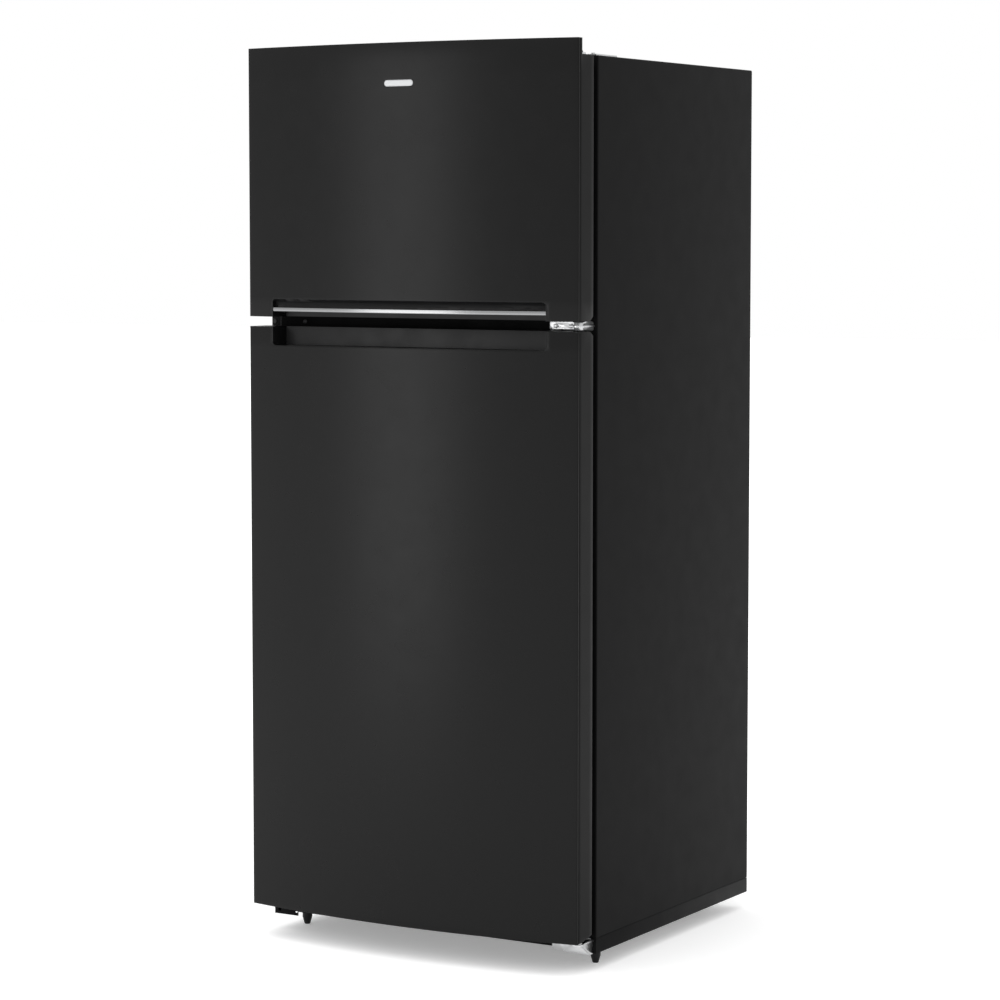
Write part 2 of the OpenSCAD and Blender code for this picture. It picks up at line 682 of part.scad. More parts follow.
module fridge_shelf_lower() fridge_shelf(shelf_zs[0]);
module fridge_shelf_upper() fridge_shelf(shelf_zs[1]);

crisper_cover_z = hump_top - 5;

module shelf_glass() color(clear_tint, 0.4) {
    for (z = shelf_zs) span([14.5 - fridge_hw, shelf_y + 14.5, z + shelf_h - 1 - glass_t],
                            [fridge_hw - 14.5, 285.5, z + shelf_h - 1]);
    span([14.5 - fridge_hw, crisper_y + 22.5, crisper_cover_z + 9],
         [fridge_hw - 14.5, hump_y - 12.5, crisper_cover_z + 9 + glass_t]);
}

// Frame over the drawers, with the centre web that separates them
module crisper_cover() color(liner_white) difference() {
    union() {
        span([1 - fridge_hw, crisper_y + 8, crisper_cover_z],
             [fridge_hw - 1, hump_y - 1, crisper_cover_z + 14]);
        span([-1.5, crisper_y + 8, fridge_floor], [1.5, hump_y - 1, crisper_cover_z]);
    }
    span([24 - fridge_hw, crisper_y + 32, crisper_cover_z - eps], [-10, hump_y - 24, crisper_cover_z + 20]);
    span([10, crisper_y + 32, crisper_cover_z - eps], [fridge_hw - 24, hump_y - 24, crisper_cover_z + 20]);
    span([14 - fridge_hw, crisper_y + 22, crisper_cover_z + 9],
         [fridge_hw - 14, hump_y - 12, crisper_cover_z + 20]);
}

// One drawer between two sides, with a pull lip along its front and two runners under it
module crisper(x0, x1) {
    z0 = fridge_floor + 4;
    for (x = [x0 + 40, x1 - 46]) span([x, crisper_y + 20, fridge_floor + 0.5], [x + 6, hump_y - 30, z0]);
    difference() {
        union() {
            along_z(z0, crisper_top) round_rect([x0, crisper_y], [x1, hump_y - 8], 10);
            span([x0 + 8, crisper_y - 5, crisper_top - 26], [x1 - 8, crisper_y + 2, crisper_top]);
        }
        along_z(z0 + bin_t, crisper_top + eps)
            round_rect([x0 + bin_t, crisper_y + bin_t + 1], [x1 - bin_t, hump_y - 8 - bin_t], 7.5);
        span([x0 + 20, crisper_y - 3, crisper_top - 40], [x1 - 20, crisper_y - eps / 2, crisper_top - 4]);
    }
}

module crisper_left() color(clear_tint, 0.6) crisper(-296, -5);
module crisper_right() color(clear_tint, 0.6) crisper(5, 296);

module control_box() color(liner_white) difference() {
    along_x(-160, 160)
        polygon([[control_y, control_z + 4], [control_y + 4, control_z], [40, control_z],
                 [60, control_z + 14], [60, fridge_ceiling], [control_y, fridge_ceiling]]);
    along_x(-157, 157)
        polygon([[control_y + 5, control_z + 3], [38, control_z + 3], [57, control_z + 16],
                 [57, fridge_ceiling - 2], [control_y + 5, fridge_ceiling - 2]]);
    for (x = knob_xs) translate([x, 0, knob_z]) rod_y(control_y - eps, control_y + 6, 3 + run_gap);
    translate([switch_x, 0, switch_z]) rod_y(control_y - eps, control_y + 6, 4 + run_gap);
    span([-60, lamp_y - 40, control_z - eps], [60, lamp_y + 40, control_z + 4]);
    for (i = [0 : 7]) span([-140 + i * 7, -60, control_z - eps], [-137 + i * 7, 20, control_z + 4]);
}

// Lamp: a lens in the box's underside, with its board above
module lamp() color("#f7f5ea") {
    span([-59.7, lamp_y - 39.7, control_z], [59.7, lamp_y + 39.7, control_z + 3]);
    span([-66, lamp_y - 46, control_z + 3], [66, lamp_y + 46, control_z + 6]);
    for (x = [-36 : 24 : 36]) translate([x, lamp_y, 0]) rod_z(control_z + 6, control_z + 9, 5);
}

// Dial with a bar grip and a spindle through the box's front wall
module dial(x) translate([x, 0, knob_z]) {
    rod_y(control_y - 6, control_y - 0.5, 16);
    rod_y(control_y - 0.6, control_y + 16, 3);
    intersection() {
        span([-3.5, control_y - 11, -15.5], [3.5, control_y - 5, 15.5]);
        rod_y(control_y - 11, control_y - 5, 15.6);
    }
}

module temperature_knob() color("#d7dadd") dial(knob_xs[0]);
module airflow_knob() color("#d7dadd") dial(knob_xs[1]);

module door_switch_plunger() color("#f2f2f2") translate([switch_x, 0, switch_z]) {
    rod_y(y_door + fridge_rib_d + 0.5, control_y + 22, 4);
    rod_y(control_y + 12, control_y + 15, 7);
}

// ---------------------------------------------------------------- feet and rollers

module leveling_foot() color(dark) translate([foot_x, foot_y, 0]) {
    pad_h = 14;
    collar_r = 9.5;
    collar_top = 26;
    cylinder(h = pad_h, r1 = 5.5, r2 = collar_r);
    rod_z(pad_h, collar_top, collar_r);
    rod_z(collar_top, 59, 5);
}

module leveling_foot_right() leveling_foot();
module leveling_foot_left() mirror([1, 0, 0]) leveling_foot();

module roller() color("#333436") translate([0, roller_y, roller_r]) difference() {
    union() {
        rod_x(roller_x - 10, roller_x + 10, roller_r - 1);
        rod_x(roller_x - 9, roller_x + 9, roller_r);
    }
    rod_x(roller_x - 12, roller_x + 12, 3 + run_gap);
}

module rear_roller_right() roller();
module rear_roller_left() mirror([1, 0, 0]) roller();

// ---------------------------------------------------------------- both doors

// Ring of ribs that stands off a door's back and holds its bins
module rib_ring(half_w, z0, z1, depth, thin, y0) difference() {
    span([thin - half_w, y0, z0 + thin], [half_w - thin, y_door + depth - thin, z1 - thin]);
    span([half_w * -1 + rib_w - thin, y0 - eps, z0 + rib_w - thin],
         [half_w - rib_w + thin, y_door + depth + eps, z1 - rib_w + thin]);
}

module door_liner(half_w, z0, z1, depth, plate_z0, plate_z1) {
    difference() {
        union() {
            span([sheet_t - hw, y_foam, plate_z0], [hw - sheet_t, y_door, plate_z1]);
            rib_ring(half_w, z0, z1, depth, 0, y_door);
        }
        rib_ring(half_w, z0, z1, depth, liner_t, y_foam - eps);
    }
}

module door_gasket(z0, z1) difference() {
    span([-gasket_hw, y_door, z0], [gasket_hw, y_front - gasket_clear, z1]);
    span([gasket_w - gasket_hw, y_door - eps, z0 + gasket_w],
         [gasket_hw - gasket_w, y_front, z1 - gasket_w]);
    // fold of the bellows on the outside
    difference() {
        span([-gasket_hw - eps, y_door + 6, z0 - eps], [gasket_hw + eps, y_door + 9, z1 + eps]);
        span([4 - gasket_hw, y_door + 5, z0 + 4], [gasket_hw - 4, y_door + 10, z1 - 4]);
    }
}

// Open bin between the ribs: list holds each bin's floor and wall height
module door_bins(list, half_w, y_end) for (bin = list) difference() {
    along_z(bin[0], bin[0] + bin[1]) union() {
        translate([-half_w, y_door]) square([2 * half_w, 30]);
        round_rect([-half_w, y_door + 2], [half_w, y_end], 16);
    }
    along_z(bin[0] + bin_t, bin[0] + bin[1] + eps)
        round_rect([bin_t - half_w, y_door + bin_t], [half_w - bin_t, y_end - bin_t], 13.5);
    // lower back wall, and a shallow dip along the front edge
    span([30 - half_w, y_door - eps, bin[0] + bin[1] / 2],
         [half_w - 30, y_door + 10, bin[0] + bin[1] + eps]);
    along_y(y_end - 10, y_end + eps)
        round_rect([60 - half_w, bin[0] + bin[1] - 12], [half_w - 60, bin[0] + bin[1] + 30], 10);
}

// ---------------------------------------------------------------- freezer door

freezer_rib_z = [freezer_floor + 15, freezer_ceiling - 14];

module freezer_door_skin() color(paint) difference() {
    union() {
        along_z(freezer_bottom, door_top) door_plan(y_door);
        along_z(freezer_bottom, lip_top) door_plan(y_chord + lip_t);
    }
    along_z(freezer_bottom - eps, lip_top - sheet_t) door_plan(y_door + eps, sheet_t);
    // the lip is open behind, above the door's top
    span([-hw - eps, y_chord + lip_t, door_top], [hw + eps, y_door + eps, lip_top + eps]);
    // opening for the pocket handle
    along_y(y_crown - eps, y_chord + 4)
        round_rect([-pocket_hw, freezer_bottom - 30], [pocket_hw, dish_top], 12);
    // seat of the badge
    along_y(y_crown - eps, y_chord) round_rect([-31, 1599], [31, 1611], 5.9);
    corner_cut(freezer_bottom, 12, 8, 1);
}

module freezer_door_foam() color("#e8dcae") {
    along_z(freezer_bottom + handle_cap_h, door_top - cap_h) difference() {
        door_plan(y_foam, sheet_t);
    }
    rib_ring(freezer_rib_hw, freezer_rib_z[0], freezer_rib_z[1], freezer_rib_d, liner_t, y_foam);
}

module freezer_door_liner() color(liner_white) difference() {
    door_liner(freezer_rib_hw, freezer_rib_z[0], freezer_rib_z[1], freezer_rib_d,
               freezer_bottom + 4, door_top - 4);
    corner_cut(freezer_bottom, 12, 8, 1);
}

module freezer_door_top_cap() color(dark) difference() {
    union() {
        along_z(door_top - cap_h, door_top) door_plan(y_foam, sheet_t);
        along_z(door_top - eps, lip_top - sheet_t) door_plan(y_chord + lip_t, sheet_t);
    }
    // the ribs' foam ends below the cap, and the pin turns in its bore
    pin_bore(door_top - 18, door_top + eps);
}

// Lower end cap: a dish above the trim, and an open pocket under and behind it
module freezer_handle_cap() color(dark) difference() {
    union() {
        along_z(freezer_bottom, freezer_bottom + handle_cap_h) door_plan(y_foam, sheet_t);
        intersection() {
            along_z(freezer_bottom, dish_top - 0.3) door_plan(y_foam);
            along_y(y_crown - eps, y_chord)
                round_rect([0.3 - pocket_hw, freezer_bottom - 30], [pocket_hw - 0.3, dish_top - 0.3], 11.7);
        }
    }
    // dish: a hollow that follows the crown
    intersection() {
        translate([0, y_crown + crown_r, 0]) rotate_extrude($fn = 720)
            translate([crown_r + dish_r - dish_d, trim_bottom + trim_h]) circle(dish_r, $fn = 64);
        span([3 - pocket_hw, y_crown - eps, trim_bottom + trim_h], [pocket_hw - 3, y_door, dish_top + 2]);
    }
    // seat of the trim
    front_layer(-eps, 5, trim_bottom - eps, trim_bottom + trim_h, pocket_hw - 3);
    // pocket under the trim, and room for fingers behind it
    span([3 - pocket_hw, y_crown - eps, freezer_bottom - eps],
         [pocket_hw - 3, y_chord + pocket_d, trim_bottom]);
    intersection() {
        along_z(freezer_bottom - eps, freezer_bottom + 30) door_plan(y_chord + pocket_d, finger_d);
        span([3 - pocket_hw, y_crown, 0], [pocket_hw - 3, y_door, lip_top]);
    }
    pin_bore(freezer_bottom - eps, freezer_bottom + 18);
    corner_cut(freezer_bottom, 12, 8, 1);
}

module freezer_handle_trim() color("#e9eaec")
    front_layer(0.8, 5, trim_bottom, trim_bottom + trim_h, pocket_hw - 3.2);

module freezer_door_gasket() color(dark) door_gasket(freezer_bottom + 3.5, door_top - 9);

module freezer_door_bins() color(liner_white) door_bins(freezer_bins, freezer_bin_hw, freezer_bin_y);

// Plain bar of metal in the door's front
module badge() color("#d4d6d8") intersection() {
    front_layer(0, sheet_t, 1595, 1615, 40);
    along_y(y_crown - eps, y_chord) round_rect([-30.8, 1599.2], [30.8, 1610.8], 5.7);
}

// ---------------------------------------------------------------- fridge door

fridge_rib_z = [fridge_floor + 16, fridge_ceiling - 16];
pocket_floor = fridge_top - pocket_h;

module fridge_door_skin() color(paint) difference() {
    along_z(fridge_bottom, fridge_top) door_plan(y_door);
    along_z(fridge_bottom - eps, fridge_top + eps) door_plan(y_door + eps, sheet_t);
    along_y(y_crown - eps, y_chord + 4)
        round_rect([-pocket_hw, pocket_floor], [pocket_hw, fridge_top + 30], 12);
    corner_cut(fridge_top, 12, 8, -1);
    corner_cut(fridge_bottom, 40, 8, 1);
}

module fridge_door_foam() color("#e8dcae") {
    along_z(fridge_bottom + 28, fridge_top - handle_cap_h) door_plan(y_foam, sheet_t);
    rib_ring(fridge_rib_hw, fridge_rib_z[0], fridge_rib_z[1], fridge_rib_d, liner_t, y_foam);
}

module fridge_door_liner() color(liner_white) {
    difference() {
        door_liner(fridge_rib_hw, fridge_rib_z[0], fridge_rib_z[1], fridge_rib_d,
                   fridge_bottom + 4, fridge_top - 4);
        corner_cut(fridge_top, 12, 8, -1);
        corner_cut(fridge_bottom, 40, 8, 1);
    }
}

// Upper end cap: a pocket open to the front and top, with a finger groove in its floor
module fridge_handle_cap() color(dark) difference() {
    union() {
        along_z(fridge_top - handle_cap_h, fridge_top) door_plan(y_foam, sheet_t);
        intersection() {
            along_z(pocket_floor - eps, fridge_top) door_plan(y_foam);
            along_y(y_crown - eps, y_chord)
                round_rect([0.3 - pocket_hw, pocket_floor + 0.3], [pocket_hw - 0.3, fridge_top + 30], 11.7);
        }
    }
    span([3 - pocket_hw, y_crown - eps, pocket_floor],
         [pocket_hw - 3, y_chord + pocket_d, fridge_top + eps]);
    front_layer(10, 30, pocket_floor - 12, pocket_floor + eps, pocket_hw - 14);
    pin_bore(fridge_top - 18, fridge_top + eps);
    corner_cut(fridge_top, 12, 8, -1);
}

module fridge_door_bottom_cap() color(dark) difference() {
    along_z(fridge_bottom, fridge_bottom + 28) door_plan(y_foam, sheet_t);
    // hollow from below, away from the hinge
    span([30 - hw, y_chord + 8, fridge_bottom - eps], [hw - 60, y_foam - 8, fridge_bottom + 20]);
    pin_bore(fridge_bottom - eps, fridge_bottom + 18);
    corner_cut(fridge_bottom, 40, 8, 1);
}

module fridge_door_gasket() color(dark) door_gasket(fridge_bottom + 8, fridge_top - 6);

dairy_z = [962, 1076];
lid_pin = [fridge_bin_y - 6, 1069];

// Door bins, and the dairy compartment's shell at the top
module fridge_door_bins() color(liner_white) {
    door_bins(fridge_bins, fridge_bin_hw, fridge_bin_y);
    difference() {
        span([-fridge_bin_hw, y_door, dairy_z[0]], [fridge_bin_hw, fridge_bin_y, dairy_z[1]]);
        span([4 - fridge_bin_hw, y_door + bin_t, dairy_z[0] + bin_t],
             [fridge_bin_hw - 4, fridge_bin_y + eps, dairy_z[1] - bin_t]);
        translate([0, lid_pin[0], lid_pin[1]])
            rod_x(1 - fridge_bin_hw, fridge_bin_hw - 1, 2 + run_gap, $fn = 32);
    }
}

// Lid that hangs from two pins
module dairy_lid() color(clear_tint, 0.6) translate([0, lid_pin[0], lid_pin[1]]) {
    half_w = fridge_bin_hw - 5;
    span([-half_w, -1.5, dairy_z[0] + 5 - lid_pin[1]], [half_w, 1.5, 0]);
    rod_x(-half_w, half_w, 3.2, $fn = 32);
    rod_x(-half_w - 3, half_w + 3, 2, $fn = 32);
    span([-60, -1.5, dairy_z[0] + 5 - lid_pin[1]], [60, 6, dairy_z[0] + 8 - lid_pin[1]]);
}

// ---------------------------------------------------------------- parts

cabinet_shell();
rear_panel();
base_frame();
cabinet_foam();
freezer_liner();
fridge_liner();
mullion_rail();
hinge_hole_plugs();
top_hinge();
centre_hinge();
bottom_hinge();
screws();
compressor();
compressor_mounts();
condenser_coil();
condenser_fan_motor();
drain_pan();
machine_cover();
filter_dryer();
refrigerant_lines();
power_inlet();
evaporator_coil();
evaporator_cover();
evaporator_fan_motor();
freezer_shelf();
fridge_shelf_lower();
fridge_shelf_upper();
shelf_glass();
crisper_cover();
control_box();
lamp();
rear_axles();
evaporator_fan_blade();
condenser_fan_blade();
temperature_knob();
airflow_knob();
door_switch_plunger();
crisper_left();
crisper_right();
leveling_foot_left();
leveling_foot_right();
rear_roller_left();
rear_roller_right();
freezer_door_skin();
freezer_door_foam();
freezer_door_liner();
freezer_door_top_cap();
freezer_handle_cap();
freezer_handle_trim();
freezer_door_gasket();
freezer_door_bins();
badge();
fridge_door_skin();
fridge_door_foam();
fridge_door_liner();
fridge_handle_cap();
fridge_door_bottom_cap();
fridge_door_gasket();
fridge_door_bins();
dairy_lid();
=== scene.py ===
"""Looks of the top freezer refrigerator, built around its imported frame. Metres, doors towards -Y, +Z up."""

import json
import math

import bmesh
import bpy
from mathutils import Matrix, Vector


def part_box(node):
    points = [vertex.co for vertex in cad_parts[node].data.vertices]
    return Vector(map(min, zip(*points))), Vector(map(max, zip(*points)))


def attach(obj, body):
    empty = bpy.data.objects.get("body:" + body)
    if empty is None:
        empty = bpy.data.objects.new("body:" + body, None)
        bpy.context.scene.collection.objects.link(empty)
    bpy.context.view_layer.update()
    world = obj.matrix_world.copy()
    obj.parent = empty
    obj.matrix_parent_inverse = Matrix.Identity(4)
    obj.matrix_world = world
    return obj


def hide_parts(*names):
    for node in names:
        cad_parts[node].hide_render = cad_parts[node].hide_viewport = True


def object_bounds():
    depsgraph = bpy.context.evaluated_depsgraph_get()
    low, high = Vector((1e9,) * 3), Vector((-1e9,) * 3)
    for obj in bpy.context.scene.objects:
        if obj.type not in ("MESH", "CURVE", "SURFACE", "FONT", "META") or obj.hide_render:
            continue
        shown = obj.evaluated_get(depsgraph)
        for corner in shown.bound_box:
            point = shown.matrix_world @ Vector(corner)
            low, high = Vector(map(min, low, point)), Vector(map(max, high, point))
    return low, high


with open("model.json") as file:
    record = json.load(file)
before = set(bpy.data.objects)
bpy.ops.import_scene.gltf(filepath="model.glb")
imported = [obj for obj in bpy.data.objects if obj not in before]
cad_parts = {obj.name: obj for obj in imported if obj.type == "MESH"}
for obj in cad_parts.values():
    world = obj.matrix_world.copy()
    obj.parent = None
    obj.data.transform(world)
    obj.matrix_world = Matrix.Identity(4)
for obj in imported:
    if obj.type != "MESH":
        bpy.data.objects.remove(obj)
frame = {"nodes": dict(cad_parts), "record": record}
cad_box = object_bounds()

MM = 0.001

# ---------------------------------------------------------------- sizes read from the frame

CABINET_LO, CABINET_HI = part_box("cabinet_shell")
FRIDGE_LO, FRIDGE_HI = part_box("fridge_door_skin")
FREEZER_LO, FREEZER_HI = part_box("freezer_door_skin")
TRIM_LO, TRIM_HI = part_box("freezer_handle_trim")
BADGE_LO, BADGE_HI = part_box("badge")

HW = CABINET_HI.x
CROWN = 33 * MM
Y_CROWN = cad_box[0][1]
Y_CHORD = Y_CROWN + CROWN
Y_DOOR = FRIDGE_HI.y
Y_FRONT = CABINET_LO.y
Y_BACK = CABINET_HI.y
CROWN_R = (HW * HW + CROWN * CROWN) / (2 * CROWN)
LIP_DEPTH = 15 * MM
DOOR_TOP = CABINET_HI.z - 1 * MM
POCKET_HW = 296 * MM
POCKET_R = 12 * MM
DISH_TOP = FREEZER_LO.z + 33.5 * MM
POCKET_FLOOR = FRIDGE_HI.z - 34.5 * MM
PIN_X = HW - 15 * MM
PIN_Y = Y_CHORD + 30 * MM
GAP_MID = (FRIDGE_HI.z + FREEZER_LO.z) / 2

# Door sheet, its round edges and the step at the ends of the doors' side walls
SHEET = 1.2 * MM
SHEET_EDGE = 0.3 * MM
CORNER_STEP = 8 * MM

# Compartments: inner half widths, floors, ceiling, the step over the machinery and the back wall
FRIDGE_HW, FREEZER_HW = 306 * MM, 302 * MM
FRIDGE_FLOOR, FREEZER_FLOOR = 104 * MM, 1197 * MM
FREEZER_CEILING = 1598 * MM
HUMP_Y, HUMP_Z = 150 * MM, 300 * MM
FLANGE_W = 20 * MM
Y_LINER_BACK = Y_BACK - 47 * MM

# ---------------------------------------------------------------- mesh helpers

ROUND = 6                                  # steps of each rounded corner


def corner_points(lo, hi, r, long=0):
    """A rounded rectangle's points in its own plane, anticlockwise, with extra ones on its long sides."""
    r = max(r, 0.2 * MM)
    points = []
    centres = ((hi[0] - r, hi[1] - r), (lo[0] + r, hi[1] - r),
               (lo[0] + r, lo[1] + r), (hi[0] - r, lo[1] + r))
    for k, (cx, cy) in enumerate(centres):
        for i in range(ROUND + 1):
            a = math.pi / 2 * (k + i / ROUND)
            points.append((cx + r * math.cos(a), cy + r * math.sin(a)))
        if long:
            nx, ny = centres[(k + 1) % 4]
            a = math.pi / 2 * (k + 1)
            p = points[-1]
            q = (nx + r * math.cos(a), ny + r * math.sin(a))
            points += [(p[0] + (q[0] - p[0]) * t / (long + 1),
                        p[1] + (q[1] - p[1]) * t / (long + 1)) for t in range(1, long + 1)]
    return points


def front_loop(lo, hi, r, y, inset=0.0, long=0):
    """A rounded rectangle that faces the front: lo and hi are (x, z)."""
    lo = (lo[0] + inset, lo[1] + inset)
    hi = (hi[0] - inset, hi[1] - inset)
    return [(x, y, z) for x, z in corner_points(lo, hi, r - inset, long)]


def plan_loop(lo, hi, r, z, inset=0.0, long=0):
    """A rounded rectangle seen from above: lo and hi are (x, y)."""
    lo = (lo[0] + inset, lo[1] + inset)
    hi = (hi[0] - inset, hi[1] - inset)
    return [(x, y, z) for x, y in corner_points(lo, hi, r - inset, long)]


def arc_steps(r, n=4):
    """Pairs (along, up) of a quarter round that starts along the first direction."""
    steps = []
    for i in range(n + 1):
        a = math.pi / 2 * i / n
        steps.append((r * math.sin(a), r * (1 - math.cos(a))))
    return steps


def loft(loops, ring=True, wrap=False, start=False, end=False):
    """Joins rows of points into a skin. ring closes each row, wrap joins the last row to the first."""
    bm = bmesh.new()
    rows = [[bm.verts.new(p) for p in loop] for loop in loops]
    if wrap:
        rows.append(rows[0])
    for a, b in zip(rows, rows[1:]):
        count = len(a)
        for i in range(count if ring else count - 1):
            j = (i + 1) % count
            bm.faces.new((a[i], a[j], b[j], b[i]))
    if start:
        bm.faces.new(list(reversed(rows[0])))
    if end:
        bm.faces.new(rows[-1])
    bmesh.ops.recalc_face_normals(bm, faces=bm.faces)
    return bm


def facing(bm, sign):
    """Turns a skin so that its last face looks along y with the given sign."""
    bm.normal_update()
    bm.faces.ensure_lookup_table()
    if bm.faces[-1].normal.y * sign < 0:
        bmesh.ops.reverse_faces(bm, faces=bm.faces)
    return bm


def prism(outline, axis, a, b):
    """A closed solid: an outline pushed along an axis from a to b."""
    spots = {
        "x": lambda p, t: (t, p[0], p[1]),
        "y": lambda p, t: (p[0], t, p[1]),
        "z": lambda p, t: (p[0], p[1], t),
    }[axis]
    return loft([[spots(p, a) for p in outline], [spots(p, b) for p in outline]], start=True, end=True)


def block(lo, hi):
    """A closed box between two corners."""
    outline = [(lo[0], lo[1]), (hi[0], lo[1]), (hi[0], hi[1]), (lo[0], hi[1])]
    return prism(outline, "z", lo[2], hi[2])


def lathe(profile, centre, axis, count=40):
    """A solid of revolution: profile is a list of (along, radius)."""
    loops = []
    for along, radius in profile:
        loop = []
        for i in range(count):
            a = 2 * math.pi * i / count
            u, v = radius * math.cos(a), radius * math.sin(a)
            offset = {"x": (along, u, v), "y": (u, along, v), "z": (u, v, along)}[axis]
            loop.append(tuple(c + o for c, o in zip(centre, offset)))
        loops.append(loop)
    return loft(loops, start=True, end=True)


def bevel_edges(bm, width, segments=2, angle=30.0):
    """Rounds every edge that is sharper than an angle."""
    limit = math.radians(angle)
    edges = [e for e in bm.edges if e.is_manifold and e.calc_face_angle(0.0) > limit]
    bmesh.ops.bevel(bm, geom=edges, offset=width, segments=segments, profile=0.5,
                    affect="EDGES", clamp_overlap=True)
    return bm


def merged(*parts):
    """Several meshes as one."""
    whole = bmesh.new()
    for part in parts:
        mesh = bpy.data.meshes.new("part")
        part.to_mesh(mesh)
        part.free()
        whole.from_mesh(mesh)
        bpy.data.meshes.remove(mesh)
    return whole


def moved(bm, x, y, z):
    """The mesh, shifted."""
    bmesh.ops.translate(bm, verts=bm.verts, vec=(x, y, z))
    return bm


def mirrored(bm):
    """The mesh and its mirror image about the middle plane."""
    other = bm.copy()
    for v in other.verts:
        v.co.x = -v.co.x
    bmesh.ops.reverse_faces(other, faces=other.faces)
    return merged(bm, other)


# ---------------------------------------------------------------- shading and modifiers


SMOOTH_ANGLE = math.radians(31)
DISSOLVE_ANGLE = math.radians(0.4)
WELD_DISTANCE = 0.005 * MM


def smooth_group():
    """A node group that drops stored normals and shades smooth up to an angle."""
    group = bpy.data.node_groups.new("smooth_by_angle", "GeometryNodeTree")
    group.interface.new_socket("Geometry", in_out="INPUT", socket_type="NodeSocketGeometry")
    group.interface.new_socket("Geometry", in_out="OUTPUT", socket_type="NodeSocketGeometry")
    start = group.nodes.new("NodeGroupInput")
    end = group.nodes.new("NodeGroupOutput")
    drop = group.nodes.new("GeometryNodeRemoveAttribute")
    drop.inputs["Name"].default_value = "custom_normal"
    faces = group.nodes.new("GeometryNodeSetShadeSmooth")
    faces.domain = "FACE"
    edges = group.nodes.new("GeometryNodeSetShadeSmooth")
    edges.domain = "EDGE"
    angle = group.nodes.new("GeometryNodeInputMeshEdgeAngle")
    test = group.nodes.new("FunctionNodeCompare")
    test.data_type = "FLOAT"
    test.operation = "LESS_THAN"
    test.inputs["B"].default_value = SMOOTH_ANGLE
    link = group.links.new
    link(start.outputs[0], drop.inputs["Geometry"])
    link(drop.outputs[0], faces.inputs["Geometry"])
    link(faces.outputs[0], edges.inputs["Geometry"])
    link(angle.outputs["Unsigned Angle"], test.inputs["A"])
    link(test.outputs["Result"], edges.inputs["Shade Smooth"])
    link(edges.outputs[0], end.inputs[0])
    return group


SMOOTH = smooth_group()


def add_smooth(obj):
    obj.modifiers.new("smooth", "NODES").node_group = SMOOTH


def add_bevel(obj, width):
    """Rounds a piece's edges with a modifier."""
    mod = obj.modifiers.new("edges", "BEVEL")
    mod.width = width
    mod.segments = 2
    mod.limit_method = "ANGLE"
    mod.angle_limit = SMOOTH_ANGLE
    mod.miter_outer = "MITER_ARC"


def add_thickness(obj, thickness):
    """Makes a skin a sheet. The thickness goes behind its faces."""
    mod = obj.modifiers.new("sheet", "SOLIDIFY")
    mod.thickness = thickness
    mod.offset = -1.0
    mod.use_even_offset = True


def dress(node, width):
    """Rounds a CAD node's edges with modifiers. Its own mesh stays as it is."""
    obj = frame["nodes"][node]
    weld = obj.modifiers.new("weld", "WELD")
    weld.merge_threshold = WELD_DISTANCE
    flat = obj.modifiers.new("flat", "DECIMATE")
    flat.decimate_type = "DISSOLVE"
    flat.angle_limit = DISSOLVE_ANGLE
    if width:
        add_bevel(obj, width)
    add_smooth(obj)


# ---------------------------------------------------------------- materials

MATERIALS = {}


def node_of(tree, kind, **values):
    """A new shader node with some of its inputs set."""
    node = tree.nodes.new(kind)
    for key, value in values.items():
        node.inputs[key].default_value = value
    return node


def noise_of(tree, coords, scale, detail=3.0, stretch=None):
    """A noise in object space, stretched if asked."""
    if stretch:
        mapping = node_of(tree, "ShaderNodeMapping", Scale=stretch)
        tree.links.new(coords, mapping.inputs["Vector"])
        coords = mapping.outputs["Vector"]
    noise = node_of(tree, "ShaderNodeTexNoise", Scale=scale, Detail=detail)
    tree.links.new(coords, noise.inputs["Vector"])
    return noise.outputs["Fac"]


def range_of(tree, value, low, high):
    """Spreads a noise between two values."""
    ramp = node_of(tree, "ShaderNodeMapRange")
    ramp.inputs["From Min"].default_value = 0.3
    ramp.inputs["From Max"].default_value = 0.7
    ramp.inputs["To Min"].default_value = low
    ramp.inputs["To Max"].default_value = high
    tree.links.new(value, ramp.inputs["Value"])
    return ramp.outputs["Result"]


def mixed(tree, factor, a, b):
    """A blend of two colours."""
    mix = tree.nodes.new("ShaderNodeMix")
    mix.data_type = "RGBA"
    mix.inputs["A"].default_value = (*a, 1.0)
    mix.inputs["B"].default_value = (*b, 1.0)
    tree.links.new(factor, mix.inputs["Factor"])
    return mix.outputs["Result"]


def bumped(tree, height, distance, strength=1.0, under=None):
    """A bump, on top of another one if asked."""
    bump = node_of(tree, "ShaderNodeBump", Strength=strength, Distance=distance)
    tree.links.new(height, bump.inputs["Height"])
    if under:
        tree.links.new(under, bump.inputs["Normal"])
    return bump.outputs["Normal"]


CLOUD_SCALE, PATCH_SCALE, WAVE_SCALE = 7.0, 23.0, 4.0
PEBBLE_DEPTH = 0.06 * MM


